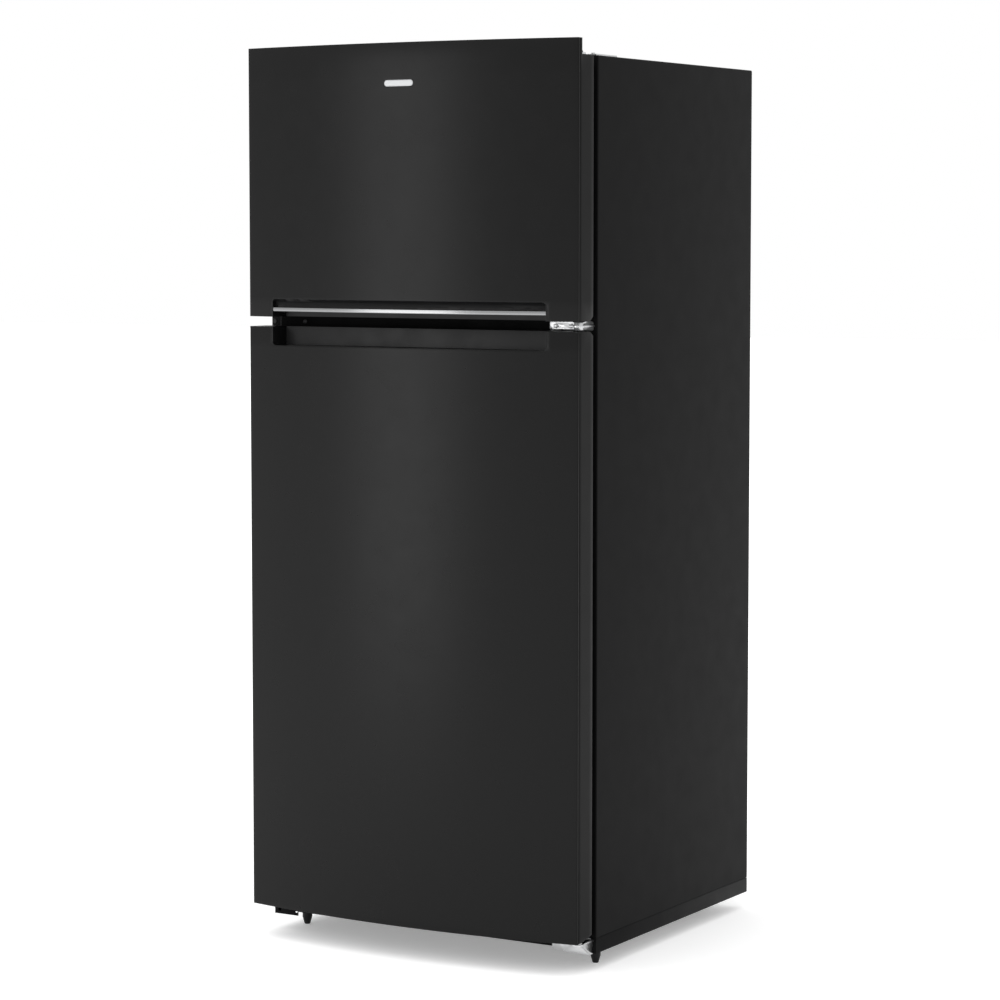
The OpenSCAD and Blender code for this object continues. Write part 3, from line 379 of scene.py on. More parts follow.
def finish_of(slot, colour, rough, tint=0.1, spread=0.05, grain=900.0, depth=0.02, wave=0.0,
              stretch=None, pebble=0.0, shader=None):
    """A procedural finish: cloudy colour, uneven gloss, a fine grain and, if asked, waves or pebbles.

    tint and spread say how far colour and roughness vary. depth and wave are heights in millimetres.
    """
    mat = bpy.data.materials.new(slot)
    mat.use_nodes = True
    tree = mat.node_tree
    bsdf = tree.nodes["Principled BSDF"]
    coords = tree.nodes.new("ShaderNodeTexCoord").outputs["Object"]
    cloud = noise_of(tree, coords, CLOUD_SCALE, 4.0, stretch)
    dark = tuple(c * (1 - tint) for c in colour)
    light = tuple(min(1.0, c * (1 + tint)) for c in colour)
    tree.links.new(mixed(tree, cloud, dark, light), bsdf.inputs["Base Color"])
    patch = noise_of(tree, coords, PATCH_SCALE, 5.0, stretch)
    tree.links.new(range_of(tree, patch, rough - spread, rough + spread), bsdf.inputs["Roughness"])
    normal = bumped(tree, noise_of(tree, coords, grain, 2.0, stretch), depth * MM)
    if pebble:
        cells = node_of(tree, "ShaderNodeTexVoronoi", Scale=pebble)
        cells.feature = "SMOOTH_F1"
        tree.links.new(coords, cells.inputs["Vector"])
        normal = bumped(tree, cells.outputs["Distance"], PEBBLE_DEPTH, 0.6, normal)
    if wave:
        normal = bumped(tree, noise_of(tree, coords, WAVE_SCALE, 1.0), wave * MM, 1.0, normal)
    tree.links.new(normal, bsdf.inputs["Normal"])
    for key, value in (shader or {}).items():
        bsdf.inputs[key].default_value = value
    MATERIALS[slot] = mat


METAL = {"Metallic": 1.0}
CLEAR = {"Transmission Weight": 0.92, "IOR": 1.45}
BRUSHED = (0.02, 1.0, 1.0)                 # stretches a noise along X


def make_paints():
    """Black and grey enamels. The blacks keep a low IOR, because the white room lights them all round."""
    finish_of("door_paint", (0.003, 0.003, 0.003), 0.26, 0.06, 0.02, 620.0, 0.005, 0.1,
              shader={"IOR": 1.255})
    # Painted shade: the doors' own paint again, with a lower IOR and rougher, so the door sides reflect less
    # and look darker than the front
    finish_of("door_shaded_side_paint", (0.0032, 0.0032, 0.0032), 0.36, 0.06, 0.025, 620.0, 0.005, 0.12,
              shader={"IOR": 1.135})
    finish_of("cabinet_paint", (0.0034, 0.0034, 0.0035), 0.46, 0.06, 0.03, 700.0, 0.01, 0.12,
              pebble=420.0, shader={"IOR": 1.14})
    finish_of("rear_paint", (0.09, 0.093, 0.098), 0.42, 0.12, 0.06, 300.0, 0.02, 0.3)
    finish_of("frame_paint", (0.0034, 0.0034, 0.0035), 0.46, 0.06, 0.03, 520.0, 0.01,
              shader={"IOR": 1.14})


def make_plastics():
    """Foam, liners, bins, caps and seals."""
    finish_of("foam", (0.62, 0.5, 0.27), 0.9, 0.16, 0.05, 260.0, 0.5)
    finish_of("liner", (0.62, 0.635, 0.65), 0.3, 0.01, 0.012, 900.0, 0.006,
              shader={"Coat Weight": 0.15, "Coat Roughness": 0.2})
    finish_of("shelf_plastic", (0.6, 0.615, 0.63), 0.33, 0.015, 0.02, 900.0, 0.01)
    finish_of("bin_plastic", (0.64, 0.66, 0.675), 0.26, 0.01, 0.015, 900.0, 0.006,
              shader={"Subsurface Weight": 0.15, "Subsurface Scale": 0.004})
    finish_of("clear_plastic", (0.86, 0.91, 0.93), 0.1, 0.03, 0.04, 300.0, 0.02, shader=CLEAR)
    finish_of("glass", (0.5, 0.6, 0.57), 0.06, 0.02, 0.02, 60.0, 0.001,
              shader={"Alpha": 0.4, "IOR": 1.5})
    finish_of("black_plastic", (0.006, 0.006, 0.0065), 0.42, 0.15, 0.07, 1300.0, 0.03,
              shader={"IOR": 1.3})
    finish_of("door_cap", (0.0042, 0.0042, 0.0044), 0.34, 0.12, 0.05, 1500.0, 0.02,
              shader={"IOR": 1.3})
    finish_of("gasket", (0.003, 0.003, 0.003), 0.62, 0.15, 0.06, 900.0, 0.04, shader={"IOR": 1.12})


def make_metals():
    """Trim, badge, hinges and screws."""
    finish_of("chrome_trim", (0.28, 0.283, 0.287), 0.15, 0.03, 0.05, 900.0, 0.002,
              stretch=BRUSHED, shader=METAL)
    finish_of("badge_metal", (0.36, 0.365, 0.37), 0.3, 0.06, 0.08, 1600.0, 0.004,
              stretch=BRUSHED, shader={**METAL, "Anisotropic": 0.5})
    finish_of("hinge_steel", (0.54, 0.545, 0.55), 0.3, 0.08, 0.06, 500.0, 0.01, shader=METAL)


def make_small_parts():
    """Machinery, tubes, rubber, lamp, fans, dials and rollers."""
    finish_of("machine_black", (0.014, 0.014, 0.015), 0.38, 0.2, 0.1, 400.0, 0.05)
    finish_of("machine_plastic", (0.028, 0.029, 0.03), 0.5, 0.15, 0.08, 1100.0, 0.03)
    finish_of("copper", (0.78, 0.35, 0.2), 0.32, 0.25, 0.12, 220.0, 0.02, shader=METAL)
    finish_of("aluminium", (0.72, 0.73, 0.74), 0.38, 0.1, 0.1, 800.0, 0.01, shader=METAL)
    finish_of("rubber", (0.005, 0.005, 0.005), 0.7, 0.2, 0.08, 1200.0, 0.06, shader={"IOR": 1.2})
    finish_of("lamp_lens", (0.93, 0.92, 0.86), 0.35, 0.03, 0.05, 700.0, 0.03,
              shader={"Emission Color": (1.0, 0.95, 0.85, 1.0), "Emission Strength": 0.6})
    finish_of("fan_plastic", (0.6, 0.61, 0.62), 0.4, 0.06, 0.06, 900.0, 0.02)
    finish_of("knob_plastic", (0.58, 0.6, 0.62), 0.3, 0.05, 0.05, 900.0, 0.02)
    finish_of("roller_plastic", (0.012, 0.012, 0.013), 0.48, 0.15, 0.08, 900.0, 0.03)


make_paints()
make_plastics()
make_metals()
make_small_parts()


def piece(name, bm, body, slot, nodes=(), thickness=0.0, edge=0.0):
    """Turns a mesh into a finished piece that rides on a body."""
    bmesh.ops.recalc_face_normals(bm, faces=bm.faces)
    mesh = bpy.data.meshes.new(name)
    bm.to_mesh(mesh)
    bm.free()
    obj = bpy.data.objects.new(name, mesh)
    bpy.context.scene.collection.objects.link(obj)
    mesh.materials.append(MATERIALS[slot])
    if thickness:
        add_thickness(obj, thickness)
    if edge:
        add_bevel(obj, edge)
    add_smooth(obj)
    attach(obj, body)
    if nodes:
        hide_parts(*nodes)
    return obj


# ---------------------------------------------------------------- doors


def crown_y(x, depth=0.0):
    """Y of the doors' crowned front at x, a given depth behind it."""
    r = CROWN_R - depth
    return Y_CROWN + CROWN_R - math.sqrt(r * r - x * x)


EDGE_R = 3 * MM                            # round between a door's front and its side
ARC_CUTS = 44
EDGE_CUTS = 6
EDGE_ANGLE = math.asin((HW - EDGE_R) / (CROWN_R - EDGE_R))
S_ARC = CROWN_R * EDGE_ANGLE
GROOVE = 6 * MM                            # where the fine groove along a door's side starts
GROOVE_W = 1.6 * MM
GROOVE_D = 0.9 * MM
GROOVE_SLOPE = 0.4 * MM


def skin_path():
    """Half of a door skin's plan, from the middle to the back edge: (length so far, x, y)."""
    points = []
    for i in range(ARC_CUTS + 1):
        a = EDGE_ANGLE * i / ARC_CUTS
        points.append((CROWN_R * math.sin(a), Y_CROWN + CROWN_R * (1 - math.cos(a))))
    cx = HW - EDGE_R
    cy = Y_CROWN + CROWN_R - (CROWN_R - EDGE_R) * math.cos(EDGE_ANGLE)
    for i in range(1, EDGE_CUTS + 1):
        a = EDGE_ANGLE + (math.pi / 2 - EDGE_ANGLE) * i / EDGE_CUTS
        points.append((cx + EDGE_R * math.sin(a), cy - EDGE_R * math.cos(a)))
    y = Y_CHORD + GROOVE
    points += [(HW, y), (HW - GROOVE_D, y + GROOVE_SLOPE),
               (HW - GROOVE_D, y + GROOVE_W - GROOVE_SLOPE), (HW, y + GROOVE_W)]
    points += [(HW, Y_CHORD + LIP_DEPTH), (HW, Y_DOOR - 12 * MM),
               (HW, Y_DOOR - 1 * MM), (HW - 0.3 * MM, Y_DOOR)]
    path = [(0.0, *points[0])]
    for a, b in zip(points, points[1:]):
        path.append((path[-1][0] + math.dist(a, b), *b))
    return path


PATH = skin_path()
S_END = PATH[-1][0]                        # length to the back edge
S_CUT = PATH[-3][0]                        # length to where the corner steps start
S_LIP = PATH[-4][0]                        # length to the back of the lip
S_POCKET = CROWN_R * math.asin(POCKET_HW / CROWN_R)


def on_path(s):
    """The plan point at a length along a skin, left side negative."""
    side = -1.0 if s < 0 else 1.0
    s = min(abs(s), S_END)
    for (s0, x0, y0), (s1, x1, y1) in zip(PATH, PATH[1:]):
        if s <= s1 + 1e-9:
            t = (s - s0) / (s1 - s0)
            return side * (x0 + (x1 - x0) * t), y0 + (y1 - y0) * t
    return side * PATH[-1][1], PATH[-1][2]


def pocket_corner(zc, start):
    """Quarter round of a pocket's opening, between the middle and its side."""
    points = []
    sc = S_POCKET - POCKET_R
    for i in range(9):
        a = math.radians(start + 90.0 * i / 8)
        points.append((sc + POCKET_R * math.cos(a), zc + POCKET_R * math.sin(a)))
    return points


BADGE_MID = (BADGE_LO.z + BADGE_HI.z) / 2
SEAT_HW, SEAT_R = 31 * MM, 6 * MM          # seat of the badge in the freezer door's sheet


def badge_hole():
    """Right half of the badge's seat, from its top to its bottom."""
    half, r, z = SEAT_HW, SEAT_R, BADGE_MID
    points = [(0.0, z + r)]
    for i in range(13):
        a = math.pi / 2 - math.pi * i / 12
        points.append((half - r + r * math.cos(a), z + r * math.sin(a)))
    return points + [(0.0, z - r)]


def freezer_half(cut):
    """Outline (length, height) of half the freezer door's skin. cut leaves room for a hinge."""
    bottom = FREEZER_LO.z
    points = [(0.0, DISH_TOP)]
    points += reversed(pocket_corner(DISH_TOP - POCKET_R, 0.0))
    points += [(S_POCKET, bottom)]
    points += [(S_CUT, bottom), (S_END, bottom + CORNER_STEP)] if cut else [(S_END, bottom)]
    points += [(S_END, DOOR_TOP), (S_LIP, DOOR_TOP), (S_LIP, FREEZER_HI.z), (0.0, FREEZER_HI.z)]
    return points + badge_hole()


def fridge_half(cut):
    """Outline of half the fridge door's skin."""
    bottom, top, step = FRIDGE_LO.z, FRIDGE_HI.z, CORNER_STEP
    points = [(0.0, bottom)]
    if cut:
        points += [(S_END - 40 * MM, bottom), (S_END, bottom + step), (S_END, top - step), (S_CUT, top)]
    else:
        points += [(S_END, bottom), (S_END, top)]
    points += [(S_POCKET, top)]
    points += pocket_corner(POCKET_FLOOR + POCKET_R, 270.0)[::-1]
    return points + [(0.0, POCKET_FLOOR)]


def sliced(bm, spot, normal):
    """Cuts a mesh along a plane and keeps both sides."""
    geom = list(bm.verts) + list(bm.edges) + list(bm.faces)
    bmesh.ops.bisect_plane(bm, geom=geom, dist=1e-7, plane_co=spot, plane_no=normal)


def skin_mesh(half_outline, levels):
    """Cuts a flat outline into strips and bends it round the door's plan."""
    bm = bmesh.new()
    right = [bm.verts.new((s, 0.0, z)) for s, z in half_outline(True)]
    bm.faces.new(right)
    left = [bm.verts.new((-s, 0.0, z)) for s, z in half_outline(False)]
    bm.faces.new(list(reversed(left)))
    bmesh.ops.remove_doubles(bm, verts=bm.verts, dist=1e-6)
    cuts = [s for s, _, _ in PATH[1:-1]]
    for s in cuts + [-s for s in cuts]:
        sliced(bm, (s, 0, 0), (1, 0, 0))
    for z in levels:
        sliced(bm, (0, 0, z), (0, 0, 1))
    # Faces past the front's round edge take the second slot, the copy of the door paint with painted shade
    # for the sides
    for f in bm.faces:
        f.material_index = 1 if abs(f.calc_center_median().x) > S_ARC + EDGE_R else 0
    for v in bm.verts:
        x, y = on_path(v.co.x)
        v.co = (x, y, v.co.z)
    return bm


def door_skin(name, half_outline, levels):
    """A door's front and sides, bent from one sheet. The sides take a darker copy of the door paint, painted
    shade that makes them look less lit than the front.
    """
    skin = piece(f"{name}_skin", skin_mesh(half_outline, levels), f"{name}_door", "door_paint",
                 (f"{name}_door_skin",), SHEET, SHEET_EDGE)
    skin.data.materials.append(MATERIALS["door_shaded_side_paint"])


def door_skins():
    """Both doors' sheets and the strip that closes the freezer door's lip."""
    gap = 3 * MM
    door_skin("freezer", freezer_half, (DISH_TOP + gap, BADGE_LO.z - gap, BADGE_HI.z + gap))
    door_skin("fridge", fridge_half, (POCKET_FLOOR - gap, FRIDGE_LO.z + CORNER_STEP + gap))
    outline = []
    inside = 1.4 * MM
    for i in range(-ARC_CUTS, ARC_CUTS + 1):
        x = (HW - inside) * i / ARC_CUTS
        outline.append((x, crown_y(x, 1.3 * MM)))
    outline += [(HW - inside, Y_CHORD + LIP_DEPTH), (inside - HW, Y_CHORD + LIP_DEPTH)]
    top = prism(outline, "z", FREEZER_HI.z - SHEET, FREEZER_HI.z - 0.15 * MM)
    piece("freezer_lip_top", top, "freezer_door", "door_paint")


# Sections in millimetres: the trim's is (depth behind the crown, height), the badge's (depth, inset)
TRIM_SECTION = ((5.0, 0.0), (1.7, 0.0), (1.15, 0.3), (0.9, 1.1), (0.8, 3.5), (0.9, 5.9),
                (1.15, 6.7), (1.7, 7.0), (5.0, 7.0))
TRIM_CUTS = 40
BADGE_SECTION = ((1.15, 0.0), (0.45, 0.0), (0.2, 0.12), (0.08, 0.4), (0.05, 0.9), (0.25, 1.1),
                 (0.25, 1.5), (0.08, 1.7))
BADGE_HW, BADGE_R = 30.8, 5.8


def trim():
    """The bright trim, which follows the freezer door's crown."""
    loops = []
    for i in range(-TRIM_CUTS, TRIM_CUTS + 1):
        x = TRIM_HI.x * i / TRIM_CUTS
        loops.append([(x, crown_y(x, d * MM), TRIM_LO.z + z * MM) for d, z in TRIM_SECTION])
    piece("handle_trim_bar", loft(loops, start=True, end=True), "freezer_door", "chrome_trim",
          ("freezer_handle_trim",))


def badge_loop(inset):
    """The badge's outline (x, z), with extra points on its long sides."""
    loop = []
    hw, r = (BADGE_HW - inset) * MM, (BADGE_R - inset) * MM
    for k in (1, -1):
        for i in range(13):
            a = math.pi / 2 * k - math.pi * i / 12
            loop.append((k * (hw - r) + r * math.cos(a), BADGE_MID + r * math.sin(a)))
    dense = []
    for p, q in zip(loop, loop[1:] + loop[:1]):
        dense.append(p)
        if math.dist(p, q) > 10 * MM:
            dense += [tuple(a + (b - a) * t / 8 for a, b in zip(p, q)) for t in range(1, 8)]
    return dense


def badge():
    """A plain metal bar with a raised rim."""
    loops = [[(x, crown_y(x, depth * MM), z) for x, z in badge_loop(inset)]
             for depth, inset in BADGE_SECTION]
    piece("front_badge", loft(loops, start=True, end=True), "freezer_door", "badge_metal", ("badge",))


# ---------------------------------------------------------------- cabinet


def shell_row(y, inset):
    """Points of the cabinet's section from its lower right edge over the top to its lower left."""
    r = max(3 * MM - inset, 0.3 * MM)
    hw, top = HW - inset, CABINET_HI.z - inset
    points = [(hw, y, CABINET_LO.z)]
    for cx, start in ((hw - r, 0), (r - hw, 90)):
        for i in range(7):
            a = math.radians(start + 15 * i)
            points.append((cx + r * math.cos(a), y, top - r + r * math.sin(a)))
    return points + [(-hw, y, CABINET_LO.z)]


def cabinet():
    """The painted wrapper with its folded front, and the dark band between the two gaskets."""
    edge, fold, clear = 2 * MM, 19 * MM, 2 * MM
    rows = [shell_row(Y_BACK, 0.0), shell_row(Y_FRONT + edge, 0.0)]
    rows += [shell_row(Y_FRONT + edge - a, b) for a, b in arc_steps(edge)[1:]]
    rows += [shell_row(Y_FRONT, fold)]
    rows += [shell_row(Y_FRONT + b, fold + a) for a, b in arc_steps(1 * MM, 3)[1:]]
    piece("cabinet_wrap", loft(rows, ring=False), "cabinet", "cabinet_paint", ("cabinet_shell",), 1.1 * MM)
    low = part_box("fridge_door_gasket")[1].z + clear
    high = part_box("freezer_door_gasket")[0].z - clear
    lo, hi = (-HW + 22 * MM, low), (HW - 22 * MM, high)
    band = [front_loop(lo, hi, 2 * MM, Y_FRONT + d * MM, i * MM)
            for d, i in ((0.0, 0.0), (-0.3, 0.0), (-0.5, 0.2))]
    piece("divider_band", loft(band, start=True, end=True), "cabinet", "gasket")


# ---------------------------------------------------------------- liners


LINER_R = 16 * MM                          # round of the compartments' long corners
LINER_LIP = 5 * MM                         # how far in the straight walls start


def liner(name, node, half, rows, top):
    """A compartment's moulded wall. rows gives (y, floor height, inset) from the front to the back."""
    lo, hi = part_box(node)
    flange, lead = HW - FLANGE_W, 2.4 * MM
    loops = [front_loop((-flange, lo.z), (flange, hi.z), 2 * MM, Y_FRONT)]
    for a, b in arc_steps(lead):
        loops.append(front_loop((-half, rows[0][1]), (half, top), LINER_R, Y_FRONT + b, a - lead))
    for y, floor, inset in rows:
        loops.append(front_loop((-half, floor), (half, top), LINER_R, y, inset))
    piece(name, facing(loft(loops, end=True), -1), "cabinet", "liner", (node,), 1.6 * MM)


def back_rows(floor, r=14 * MM):
    """Rounds the walls into the back wall."""
    return [(Y_LINER_BACK - r + a, floor, b) for a, b in arc_steps(r)]


def liners():
    """Both compartments. The fridge's floor steps up over the machinery, on a slightly sloped front."""
    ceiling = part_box("fridge_liner")[1].z - 4 * MM
    r, slope = 9 * MM, 3 * MM
    rows = [(Y_FRONT + LINER_LIP, FRIDGE_FLOOR, 0.0)]
    rows += [(HUMP_Y - slope - r + a, FRIDGE_FLOOR + b, 0.0) for a, b in arc_steps(r)]
    rows += [(HUMP_Y + b, HUMP_Z - r + a, 0.0) for a, b in arc_steps(r)]
    liner("fridge_inner", "fridge_liner", FRIDGE_HW, rows + back_rows(HUMP_Z), ceiling)
    rows = [(Y_FRONT + LINER_LIP, FREEZER_FLOOR, 0.0)] + back_rows(FREEZER_FLOOR)
    liner("freezer_inner", "freezer_liner", FREEZER_HW, rows, FREEZER_CEILING)


def ledge(x0, x1, y0, y1, z0, z1):
    """A moulded ledge with a round front end."""
    return bevel_edges(block((x0, y0, z0), (x1, y1, z1)), 1.8 * MM, 3)


# Ledges on the right walls, in millimetres: (x0, x1, y0, y1, z0, z1)
SHELF_ZS = (545, 672, 800, 927)
CRISPER_LEDGE = (302.5, 306.5, -137, 146, 291, 294.6)
FREEZER_LEDGE = (295.5, 302.5, -140, 240, 1386, 1389.8)


def ledges():
    """Ledges that the shelves, the crisper cover and the freezer shelf rest on."""
    rows = [(298.5, 306.5, -130, 290, z - 5.2, z - 0.4) for z in SHELF_ZS] + [CRISPER_LEDGE]
    parts = [ledge(*(v * MM for v in row)) for row in rows]
    piece("fridge_ledges", mirrored(merged(*parts)), "cabinet", "liner")
    rail = ledge(*(v * MM for v in FREEZER_LEDGE))
    piece("freezer_ledges", mirrored(rail), "cabinet", "liner")


# The duct's corners and section (inset, depth), and its vents. VENT_Z, VENT_PITCH and the sections
# are in millimetres.
DUCT_LO, DUCT_HI = (-90 * MM, 340 * MM), (90 * MM, 1075 * MM)
DUCT_SECTION = ((0.0, 0.0), (0.4, 6.0), (2.5, 10.0), (6.5, 12.0))
VENT_X, VENT_Z, VENT_PITCH, VENT_ROWS = 45 * MM, 430, 140, 5
VENT_HW, VENT_H = 28 * MM, 7 * MM
VENT_SECTION = ((11.9, -1.2), (12.9, -0.8), (12.9, 0.0), (11.9, 0.3))


def back_duct():
    """The air duct on the fridge's back wall, with rimmed vents."""
    y = Y_LINER_BACK
    loops = [front_loop(DUCT_LO, DUCT_HI, 22 * MM, y - b * MM, a * MM) for a, b in DUCT_SECTION]
    slots = []
    for row in range(VENT_ROWS):
        for side in (-1, 1):
            z = (VENT_Z + row * VENT_PITCH) * MM
            x = side * VENT_X
            rim = [front_loop((x - VENT_HW, z), (x + VENT_HW, z + VENT_H), 3.4 * MM, y - d * MM, i * MM)
                   for d, i in VENT_SECTION]
            slots.append(loft(rim, start=True, end=True))
    piece("back_duct", loft(loops, start=True, end=True), "cabinet", "liner")
    piece("duct_vents", merged(*slots), "cabinet", "machine_plastic")


# ---------------------------------------------------------------- door insides


# Rim behind a door in millimetres: (inset, depth), then its outer gap and its corners' round
RIM_SECTION = ((0.0, -1.9), (0.0, -0.5), (0.5, 0.0), (15.0, 0.0), (15.6, -0.6), (15.6, -1.9))
RIM_GAP = 1.3 * MM
RIM_R = 18 * MM


def back_rim(name, body, lo_z, hi_z):
    """The dark folded rim round a door's back, outside its gasket."""
    lo, hi = (-HW + RIM_GAP, lo_z), (HW - RIM_GAP, hi_z)
    loops = [front_loop(lo, hi, RIM_R, Y_DOOR + d * MM, i * MM) for i, d in RIM_SECTION]
    piece(name, loft(loops, wrap=True), body, "door_cap")


# Ring of ribs on a door's inside: half width, low edge, high edge and depth
FREEZER_RIBS = (284 * MM, 1212 * MM, 1584 * MM, 50 * MM)
FRIDGE_RIBS = (288 * MM, 120 * MM, 1113 * MM, 70 * MM)
RIB_W, RIB_R, RIB_CORNER = 24 * MM, 7 * MM, 20 * MM
RIB_DRAFT = 1.5 * MM
PLATE_GAP = 15.7 * MM                      # from a door's lower and upper edge to its inner plate


def door_inner(door, half, z0, z1, depth):
    """A door's moulded inner panel: a plate with a hollow ring of ribs that holds the bins."""
    name, node, body = f"{door}_door_inner", f"{door}_door_liner", f"{door}_door"
    low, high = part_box(node)
    back_rim(name + "_rim", body, low.z, high.z)
    lo, hi = (-half, z0), (half, z1)
    plate_lo, plate_hi = (17 * MM - HW, low.z + PLATE_GAP), (HW - 17 * MM, high.z - PLATE_GAP)
    y, top, r = Y_DOOR, Y_DOOR + depth, RIB_R
    rows = [(plate_lo, plate_hi, 2.5 * MM, y - 1.9 * MM, 0.0)]
    rows += [(plate_lo, plate_hi, 2.5 * MM, y - 1.4 * MM + a, b) for a, b in arc_steps(1.4 * MM, 3)]
    rows += [(lo, hi, RIB_CORNER, y + b, -a + RIB_DRAFT) for a, b in reversed(arc_steps(r))]
    rows += [(lo, hi, RIB_CORNER, top - r + a, RIB_DRAFT + b) for a, b in arc_steps(r)]
    rows += [(lo, hi, RIB_CORNER, top - r + a, RIB_W - b) for a, b in reversed(arc_steps(r))]
    rows += [(lo, hi, RIB_CORNER, y + r - a, RIB_W + 0.5 * MM + b) for a, b in arc_steps(r)]
    skin = facing(loft([front_loop(*row) for row in rows], end=True), 1)
    piece(name, skin, body, "liner", (node, node.replace("liner", "foam")), 1.5 * MM)


def seal(name, node, body):
    """A bellows gasket with its flat magnet strip against the cabinet."""
    lo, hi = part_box(node)
    d, f = Y_DOOR, hi.y
    section = [(1.0, f - 0.2 * MM), (2.0, f), (13.0, f), (14.0, f - 1 * MM), (14.0, f - 4.6 * MM),
               (11.0, f - 6 * MM), (18.0, f - 8.4 * MM), (18.6, f - 9.6 * MM), (12.5, d + 3 * MM),
               (17.0, d + 1.2 * MM), (17.0, d + 0.1 * MM), (2.0, d + 0.1 * MM), (1.6, d + 2.4 * MM),
               (5.5, d + 5 * MM), (5.8, f - 8 * MM), (1.2, f - 6.4 * MM), (0.2, f - 5 * MM),
               (0.2, f - 1.4 * MM)]
    loops = [front_loop((lo.x, lo.z), (hi.x, hi.z), 22 * MM, y, i * MM) for i, y in section]
    piece(name, loft(loops, wrap=True), body, "gasket", (node,))


def tub(lo, hi, z0, z1, r, wall=2.4 * MM, foot=9 * MM, draft=3 * MM, rim=1.6 * MM, shape=None, long=0):
    """An open box with round corners, a rolled rim and drafted walls. shape(x, y) scales its wall height."""
    rows = [(z0, foot + draft)]
    rows += [(z0 + b, foot + draft - a) for a, b in arc_steps(foot)[1:]]
    rows += [(z1 - 6 * MM, rim + 0.4 * MM), (z1 - 5 * MM, 0.3 * MM), (z1 - 0.8 * MM, 0.0), (z1, 0.8 * MM),
             (z1, rim + wall - 1 * MM), (z1 - 0.8 * MM, rim + wall)]
    inner = foot - 2 * MM
    rows += [(z0 + wall + b, inner + draft + wall - a) for a, b in reversed(arc_steps(inner))]
    bm = loft([plan_loop(lo, hi, r, z, inset, long) for z, inset in rows], start=True, end=True)
    if shape:
        for v in bm.verts:
            v.co.z = z0 + (v.co.z - z0) * shape(v.co.x, v.co.y)
    return bm


def ramp_up(t):
    """A smooth step from 0 to 1."""
    t = max(0.0, min(1.0, t))
    return t * t * (3 - 2 * t)


FRONT_DIP = 11.0                           # depth in millimetres of the dip along a bin's front


def bin_mesh(half, y_end, z, height):
    """A door bin: low behind, with a shallow dip along its front."""

    def shape(x, y):
        back = ramp_up((Y_DOOR + 34 * MM - y) / (22 * MM))
        back *= ramp_up((half - 22 * MM - abs(x)) / (20 * MM))
        front = ramp_up((y - y_end + 26 * MM) / (16 * MM))
        front *= ramp_up((half - 40 * MM - abs(x)) / (40 * MM))
        return 1.0 - 0.5 * back - front * FRONT_DIP / height

    return tub((-half, Y_DOOR + 0.3 * MM), (half, y_end), z * MM, (z + height) * MM, 16 * MM,
               shape=shape, long=30)


# Bins: half width, inner end, and the (floor, height) of each in millimetres
FRIDGE_BINS = (262 * MM, Y_DOOR + 115 * MM, ((150, 112), (420, 86), (680, 86)))
FREEZER_BINS = (258 * MM, Y_DOOR + 100 * MM, ((1240, 78), (1430, 70)))
DAIRY_LOW, DAIRY_HIGH = 962 * MM, 1076 * MM


def dairy_shell(half, y_end):
    """The shell of the dairy compartment, open towards the inside of the fridge."""
    lo, hi, r, soft = (-half, DAIRY_LOW), (half, DAIRY_HIGH), 9 * MM, 6 * MM
    y = Y_DOOR + 0.3 * MM
    rows = [(y, soft)] + [(y + b, soft - a) for a, b in arc_steps(soft)[1:]]
    rows += [(y_end - 1 * MM, 0.0), (y_end, 0.8 * MM), (y_end, 2.4 * MM), (y_end - 0.8 * MM, 3.2 * MM)]
    rows += [(y + 2.5 * MM + b, 7.2 * MM - a) for a, b in reversed(arc_steps(4 * MM))]
    return loft([front_loop(lo, hi, r, y, inset) for y, inset in rows], start=True, end=True)


def door_bins(door, half, y_end, rows):
    """A door's bins. The first stands for the CAD node that holds them all."""
    for i, (z, height) in enumerate(rows):
        nodes = (f"{door}_door_bins",) if i == 0 else ()
        mesh = bin_mesh(half, y_end, z, height)
        piece(f"{door}_bin_{i + 1}", mesh, f"{door}_door", "bin_plastic", nodes)


def bins():
    """The bins of both doors and the dairy compartment."""
    half, y_end, _ = FRIDGE_BINS
    door_bins("fridge", *FRIDGE_BINS)
    piece("dairy_box", dairy_shell(half, y_end), "fridge_door", "bin_plastic")
    door_bins("freezer", *FREEZER_BINS)


LID_Y, LID_Z = -165 * MM, 1069 * MM        # axis of the dairy lid's barrel
BARREL_R = 3.2 * MM


def dairy_flap():
    """The clear lid with its barrel, pull lip and two pins."""
    lo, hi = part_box("dairy_lid")
    half = hi.x - 3 * MM
    y, z, r = LID_Y, LID_Z, BARREL_R
    outline = [(y - 1.5 * MM, lo.z), (y + 5.4 * MM, lo.z), (y + 6 * MM, lo.z + 1.4 * MM),
               (y + 5.4 * MM, lo.z + 2.8 * MM), (y + 2.4 * MM, lo.z + 3.4 * MM),
               (y + 1.5 * MM, lo.z + 5 * MM)]
    for i in range(13):
        a = math.radians(-55 + 290 * i / 12)
        outline.append((y + r * math.cos(a), z + r * math.sin(a)))
    outline.append((y - 1.5 * MM, z - 3 * MM))
    flap = bevel_edges(prism(outline, "x", -half, half), 0.5 * MM, 2, 50)
    pin = lathe([(0.0, 2 * MM), (2.6 * MM, 2 * MM), (3 * MM, 1.6 * MM)], (half, y, z), "x", 20)
    mesh = merged(flap, mirrored(pin))
    piece("dairy_flap", mesh, "dairy_lid", "clear_plastic", ("dairy_lid",))


DRAWER_Z = FRIDGE_FLOOR + 4 * MM           # underside of the crisper drawers, above their runners


